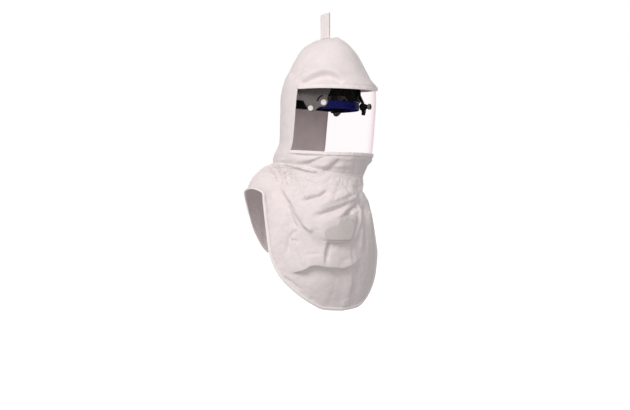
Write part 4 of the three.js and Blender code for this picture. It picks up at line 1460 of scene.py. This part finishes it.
    def build(self) -> None:
        rib = np.linspace(-BIB.shoulder, BIB.shoulder, 240)
        points, normals = self.panel(rib, 190, True)
        front = cloth_piece("front_bib", points, normals, self.thick)
        dress(front, BIB_CLOTH, Body.HOOD, "hood_cloth", "bib_front")
        edge = self.binding("front_binding", points, normals, self.curl(rib))
        patch = self.label()
        rib = np.linspace(BIB.shoulder, 2 * BIB.back_middle - BIB.shoulder, 150)
        rib = np.where(rib <= BIB.back_middle, rib, rib - 2 * BIB.back_middle)
        points, normals = self.panel(rib, 110, False)
        back = cloth_piece("back_bib", points, normals, self.thick)
        dress(back, BIB_CLOTH, Body.HOOD, "hood_cloth", "bib_back")
        back_edge = self.binding("back_binding", points, normals, 0 * rib)


@dataclass
class HangingLoop:
    """The strap folded double on the crown ridge, its width along the ridge."""

    fwd: float = 23.0
    wide: float = 26.0
    tall: float = 70.0
    clear: float = 6.0
    strap: float = 1.6
    shear: float = 0.2

    def build(self) -> bpy.types.Object:
        """Builds the strap: up a leg, round a half circle and down again, sheared, its front edge pressed.

        Returns:
            The strap.
        """
        inner = (self.clear + self.strap) / 2
        straight = self.tall - inner - self.strap / 2
        leg = np.linspace(0, 1, 40)
        arc = np.linspace(math.pi, 0, 16)[1:-1]
        x = np.concatenate([np.full(40, -inner), inner * np.cos(arc), np.full(40, inner)])
        z = np.concatenate([leg * straight, straight + inner * np.sin(arc), leg[::-1] * straight])
        width = np.linspace(-0.5, 0.5, 28)
        x, across = np.meshgrid(x, width, indexing="ij")
        x = x * (1 - 0.4 * smooth((across - 0.1) / 0.35))
        z = np.broadcast_to(z[:, None], x.shape)
        high = z / self.tall
        ribs = 0.35 * np.cos(across * 5 * math.pi) + 0.8 * np.sin(across * 2.4 + high * 2.0) * high
        fwd = self.fwd + self.wide * across
        slope = FORM.ridge_drop / FORM.ridge_long
        foot = FORM.ridge_up - slope * (FORM.ridge_front - self.fwd) + 0.2
        seat = slope * (fwd - self.fwd)
        lean = self.shear * (fwd - self.fwd)
        points = np.stack([x + ribs * np.sign(x), -fwd, foot + z + seat + (lean - seat) * high], axis=2)
        tangent, side = np.gradient(points, axis=0), np.gradient(points, axis=1)
        normals = unit(np.cross(tangent, side))
        middle = np.stack([0 * x, -fwd, foot + 0 * z + straight * 0.5], axis=2)
        normals = normals if (normals * (points - middle)).sum() > 0 else -normals
        long = np.broadcast_to(lengths_along(points[:, 0])[:, None], x.shape)
        uv = np.stack([across * self.wide, long], axis=2) * MM
        piece = cloth_piece("hanging_strap", points, normals, self.strap, uv=uv)
        dress(piece, LOOP_TAPE, Body.HOOD, "loop_tape", "hanging_loop")
        return piece


# Harness


@dataclass
class Harness:
    """The head harness inside the hood: bands, strap, plates, buttons, brow frame, bracket and knob."""

    band_front: float = 116.0
    band_half: float = 78.0
    fullness: float = 2.4
    band_high: float = 21.0
    band_end: float = 34.0
    nape_inset: float = 2.3
    nape_back: float = 92.0
    nape_high: float = 18.0
    nape_start: float = 46.0
    nape_rise: float = 12.0
    strap_fwd: float = 15.0
    strap_wide: float = 20.0
    strap_thick: float = 1.5
    strap_inside: float = 76.3
    strap_foot: float = -10.0
    strap_spring: float = 20.0
    strap_top: float = 88.0
    plate_side: float = 87.0
    plate_toe: float = math.radians(11.6)
    pivot: tuple = (53.0, 5.7, 8.0, 3.0)
    rear_button: tuple = (17.63, -9.0, 7.4, 2.6)
    knob: tuple = (149.5, -3.5, 7.7, 7.5)
    slot: tuple = (18.5, 6.6, 96.0, 172.0)
    slot_back: float = 3.3
    frame_front: float = 119.6
    frame_half: float = 78.3
    frame_thick: float = 2.2
    frame_end: float = 58.0
    frame_top: float = 46.0
    frame_side: float = 23.0
    frame_middle: float = 10.0
    bracket: tuple = ((123.6, 42), (123.6, 30), (127.5, 20), (133, 8), (136, -4), (136.5, -15), (135, -26))
    bar: tuple = (13.0, 7.0)
    arm: tuple = (127.0, 157.0, 5.0)
    hands: tuple = (("left", 1), ("right", -1))

    def ring(self, turn: Array, front: Array, half: float, up: Array) -> Array:
        """Points of an oval ring: front * cos^(2/fullness) forward, half * sin^(2/fullness) sideways."""
        fwd = front * powered(np.cos(turn), 2 / self.fullness)
        return np.stack([half * powered(np.sin(turn), 2 / self.fullness), -fwd, up + 0 * turn], axis=-1)

    def turn_at(self, fwd: float, front: float) -> float:
        """The ring's angle at a forward place."""
        return math.acos(powered(np.float64(fwd / front), self.fullness / 2))

    def band(self, name: str, path: Array, high: float, thick: float) -> bpy.types.Object:
        """A flat band with round edges carried along a path, its outside on the path.

        Args:
            name: Name of the piece.
            path: Points of the path in millimetres.
            high: Height of the band.
            thick: Thickness of the band.

        Returns:
            The new object.
        """
        tangent = unit(np.gradient(path, axis=0))
        rise = np.broadcast_to(UPRIGHT, path.shape)
        out = unit(np.cross(tangent, rise))
        out = out * np.sign((out * path).sum())
        return swept_piece(name, path - out * thick / 2, rise, out, rounded(high, thick, 6.0, 28))

    def build_bands(self) -> None:
        """Builds the brow band, the nape band and the crown strap."""
        end = self.turn_at(self.band_end, self.band_front)
        brow = self.ring(np.linspace(-end, end, 160), self.band_front, self.band_half, 0.0)
        piece = self.band("blue_brow_band", brow, self.band_high, 2.0)
        dress(piece, BLUE_BAND, Body.HEADBAND, "band_blue", "brow_band")
        front = self.band_front - self.nape_inset
        start = self.turn_at(self.nape_start, front)
        turn = np.linspace(start, 2 * math.pi - start, 200)
        reach = np.where(np.cos(turn) > 0, front, self.nape_back)
        path = self.ring(turn, reach, self.band_half - self.nape_inset, 0.0)
        share = (self.nape_start + path[:, 1]) / (self.nape_start + self.nape_back)
        path[:, 2] = self.nape_rise * smooth(share)
        piece = self.band("black_nape_band", path, self.nape_high, 1.6)
        dress(piece, BLACK_PLASTIC, Body.HEADBAND, "frame_black", "nape_band")
        angle = np.linspace(0, math.pi, 90)
        middle = self.strap_inside + self.strap_thick / 2
        legs = np.linspace(self.strap_foot, self.strap_spring, 14)[:-1]
        x = np.concatenate([np.full(13, middle), middle * np.cos(angle), np.full(13, -middle)])
        arch = self.strap_spring + (self.strap_top - self.strap_spring + self.strap_thick / 2) * np.sin(angle)
        z = np.concatenate([legs, arch, legs[::-1]])
        path = np.stack([x, np.full(x.shape, -self.strap_fwd), z], axis=1)
        along = np.broadcast_to(np.array([0.0, 1.0, 0.0]), path.shape)
        out = np.cross(unit(np.gradient(path, axis=0)), along)
        profile = rounded(self.strap_wide, self.strap_thick, 5.0, 24)
        piece = swept_piece("black_crown_strap", path, along, out, profile)
        dress(piece, BLACK_WEBBING, Body.HEADBAND, "strap_black", "crown_strap")

    def plate_axes(self, hand: int) -> tuple[Array, Array]:
        """The outward and the forward direction of a plate, which is toed in: hand is 1 left and -1 right."""
        c, s = math.cos(self.plate_toe), math.sin(self.plate_toe)
        return np.array([hand * c, -s, 0.0]), np.array([-hand * s, -c, 0.0])

    def build_buttons(self) -> None:
        """Builds the domed buttons on both plates, each turned about the plate's own outward axis."""
        kinds = (("pivot", self.pivot, 5.0), ("rear", self.rear_button, 2.2))
        for (side, hand), (name, (fwd, up, radius, tall), drop) in product(self.hands, kinds):
            out, _ = self.plate_axes(hand)
            foot = np.array([hand * (self.plate_side - fwd * math.tan(self.plate_toe)), -fwd, up])
            profile = np.array([
                (0.4, -drop), (2.5, -drop), (2.5, 0.3), (radius * 0.96, 0.3), (radius, 0.6),
                (radius, tall * 0.55), (radius * 0.93, tall * 0.82), (radius * 0.75, tall * 0.97),
                (radius * 0.42, tall * 1.02), (radius * 0.36, tall * 0.84), (radius * 0.2, tall * 0.8),
                (0.3, tall * 0.8),
            ])
            piece = turned_piece(f"{name}_cap_{side}", foot, out, profile)
            dress(piece, WHITE_PLASTIC, Body.HOOD, "button_white", f"{name}_button_{side}")

    def build_slot_backs(self) -> None:
        """Builds the black backs seen through the plates' slots: arcs round the pivots, behind the plates."""
        radius, wide, start, end = self.slot
        angle = np.radians(np.linspace(start, end, 40))
        fwd, up = self.pivot[:2]
        along = fwd / math.cos(self.plate_toe) + radius * np.cos(angle)
        for side, hand in self.hands:
            out, run = self.plate_axes(hand)
            path = np.array([hand * self.plate_side, 0.0, 0.0]) + along[:, None] * run - self.slot_back * out
            path[:, 2] = up + radius * np.sin(angle)
            across = np.cos(angle)[:, None] * run + np.sin(angle)[:, None] * UPRIGHT
            outs = np.broadcast_to(out, path.shape)
            piece = swept_piece(f"slot_back_{side}", path, across, outs, rounded(wide, 1.0, 5.0, 16))
            dress(piece, BLACK_PLASTIC, Body.HOOD, "frame_black")

    def build_frame(self) -> None:
        """Builds the brow frame: a rounded wall on an oval ring, deeper over the middle of the brow."""
        end = self.turn_at(self.frame_end, self.frame_front)
        turn = np.linspace(-end, end, 160)
        foot = self.frame_side + (self.frame_middle - self.frame_side) * smooth((0.62 - np.abs(turn)) / 0.16)
        path = self.ring(turn, self.frame_front, self.frame_half, (self.frame_top + foot) / 2)
        tangent = unit(np.gradient(path * np.array([1.0, 1.0, 0.0]), axis=0))
        rise = np.broadcast_to(UPRIGHT, path.shape)
        out = np.cross(tangent, rise)
        out = out * np.sign((out * path).sum())
        outline = np.stack([rounded(high, self.frame_thick, 8.0, 32) for high in self.frame_top - foot])
        piece = swept_piece("black_brow_frame", path - out * self.frame_thick / 2, rise, out, outline)
        dress(piece, BLACK_PLASTIC, Body.HOOD, "frame_black", "brow_frame")

    def build_bracket(self) -> None:
        """Builds the bent bar of the front bracket, fuller at the joint, and the arm with the knob's seat."""
        rows = np.array(self.bracket, float)
        at = np.linspace(0, len(rows) - 1, 80)
        count = np.arange(len(rows))
        fwd, up = through(count, rows[:, 0], at), through(count, rows[:, 1], at)
        path = np.stack([0 * fwd, -fwd, up], axis=1)
        side = np.broadcast_to(np.array([1.0, 0.0, 0.0]), path.shape)
        out = np.cross(side, unit(np.gradient(path, axis=0)))
        full = 0.86 + 0.45 * np.exp(-(((at - 4.6) / 1.2) ** 2))
        outline = rounded(*self.bar, 4.0, 28)[None] * full[:, None, None]
        bar = swept_piece("black_bracket_bar", path, side, out, outline)
        dress(bar, BLACK_PLASTIC, Body.HOOD, "frame_black", "front_bracket")
        start, end, radius = self.arm
        long = end - start
        profile = np.array([
            (0.4, 0), (8.0, 0), (9.2, 1.5), (9.0, 9), (7.8, 15), (radius + 0.6, 19), (radius, 21),
            (radius, long - 0.6), (radius - 0.8, long), (0.4, long),
        ])
        arm = turned_piece("black_bracket_arm", np.array([0.0, -start, self.knob[1]]), AHEAD, profile)
        dress(arm, BLACK_PLASTIC, Body.HOOD, "frame_black")

    def build_knob(self) -> None:
        """Builds the round front knob with grip ribs, turned about the arm."""
        fwd, up, radius, long = self.knob
        profile = np.array([
            (5.3, 0.0), (radius - 1.2, 0.0), (radius - 0.3, 0.4), (radius, 1.2), (radius, long - 1.2),
            (radius - 0.3, long - 0.4), (radius - 1.2, long), (5.3, long),
        ])
        piece = turned_piece("ribbed_knob", np.array([0.0, -fwd, up]), AHEAD, profile, 96, 0.02, 16)
        dress(piece, GREY_PLASTIC, Body.HOOD, "frame_black", "front_knob")

    def dress_hard_nodes(self) -> None:
        """Gives the hard nodes that keep their shape their finishes."""
        for part, (side, _) in product(("side_plate", "hood_stud"), self.hands):
            coat(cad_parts[f"{part}_{side}"], GREY_PLASTIC)
            LOG.info("%s_%s: finish %s", part, side, GREY_PLASTIC.name)

    def build(self) -> None:
        """Builds the harness's pieces and dresses its hard nodes."""
        self.build_bands()
        self.build_buttons()
        self.build_slot_backs()
        self.build_frame()
        self.build_bracket()
        self.build_knob()
        self.dress_hard_nodes()


# Studio


@dataclass
class Studio:
    """Pale floor, soft light and the camera."""

    floor_up: float = -0.95
    floor_half: float = 60.0
    heading: float = math.radians(65)
    distance: float = 3.0
    eye_up: float = -0.268
    aside: float = 0.0077
    aim_up: float = -0.15
    lens: float = 62.3
    sensor: float = 36.0

    def build_floor(self) -> None:
        """Builds the floor, one wide pale sheet."""
        edge = np.array([-1.0, 0.0, 1.0]) * self.floor_half / MM
        x, y = np.meshgrid(edge, edge)
        points = np.stack([x, y, np.full(x.shape, self.floor_up / MM)], axis=2)
        floor = make_piece("floor", points, grid_quads(3, 3).reshape(-1, 4).tolist())
        shader = Shader("pale_floor")
        shader.feed("Base Color", shader.ramp(shader.noise(3.0), (0.90, 0.90, 0.90), (0.93, 0.93, 0.93)))
        shader.set(Roughness=0.9, Emission_Color=(1.0, 1.0, 1.0, 1.0), Emission_Strength=0.75)
        floor.data.materials.append(shader.material)
        floor.visible_diffuse = False
        floor.visible_glossy = False

    def placed(self, towards: float, right: float, up: float) -> Array:
        """A place in metres from distances towards the camera, to its right and up."""
        c, s = math.cos(self.heading), math.sin(self.heading)
        return np.array([right * c - towards * s, -towards * c - right * s, up])

    def lamp(self, name: str, place: tuple, size: float, power: float, colour: tuple) -> None:
        """Builds a square area lamp.

        Args:
            name: Name of the lamp.
            place: Distances towards the camera, to its right and up.
            size: Side of the square in metres.
            power: Power in watts.
            colour: Colour of the light.
        """
        data = bpy.data.lights.new(name, "AREA")
        data.size, data.energy, data.color = size, power, colour
        lamp = bpy.data.objects.new(name, data)
        spot = self.placed(*place)
        aim = self.aim_up * UPRIGHT - spot
        yaw, pitch = math.atan2(aim[0], aim[1]), math.atan2(aim[2], math.hypot(aim[0], aim[1]))
        lamp.location = spot.tolist()
        lamp.rotation_euler = (math.pi / 2 + pitch, 0.0, -yaw)
        bpy.context.scene.collection.objects.link(lamp)

    def build_world(self) -> None:
        """Builds the white surroundings: bright to look at, softer as a light."""
        scene = bpy.context.scene
        scene.world = bpy.data.worlds.new("white_surround")
        scene.world.use_nodes = True
        tree = scene.world.node_tree
        ground = tree.nodes["Background"]
        ground.inputs["Color"].default_value = (1.0, 1.0, 1.0, 1.0)
        path = tree.nodes.new("ShaderNodeLightPath")
        strength = tree.nodes.new("ShaderNodeMapRange")
        strength.inputs["To Min"].default_value = 0.44
        strength.inputs["To Max"].default_value = 1.0
        tree.links.new(path.outputs["Is Camera Ray"], strength.inputs["Value"])
        tree.links.new(strength.outputs["Result"], ground.inputs["Strength"])
        scene.view_settings.view_transform = "Standard"

    def build_camera(self) -> None:
        """Builds the level camera at the photograph's heading."""
        data = bpy.data.cameras.new("camera")
        data.lens, data.sensor_width = self.lens, self.sensor
        camera = bpy.data.objects.new("camera", data)
        camera.location = self.placed(self.distance, -self.aside, self.eye_up).tolist()
        camera.rotation_euler = (math.pi / 2, 0.0, -self.heading)
        bpy.context.scene.collection.objects.link(camera)
        bpy.context.scene.camera = camera

    def build(self) -> None:
        """Builds the floor, the surroundings, the lamps and the camera."""
        self.build_camera()
        self.build_floor()
        self.build_world()
        self.lamp("key", (2.7, -1.35, 1.85), 1.7, 75.0, (1.0, 0.985, 0.975))
        self.lamp("fill", (2.4, 1.2, 0.3), 1.8, 5.5, (1.0, 0.99, 0.99))


def main() -> None:
    """Builds every class in order."""
    logging.basicConfig(level=logging.INFO, format="%(message)s")
    Studio().build()
    hood = HoodCloth()
    cloth = hood.build()
    ring = hood.seam_ring()
    casing = hood.casing_stitches()
    hems = Visor().build()
    Bibs().build()
    HangingLoop().build()
    Harness().build()


if __name__ == "__main__":
    main()
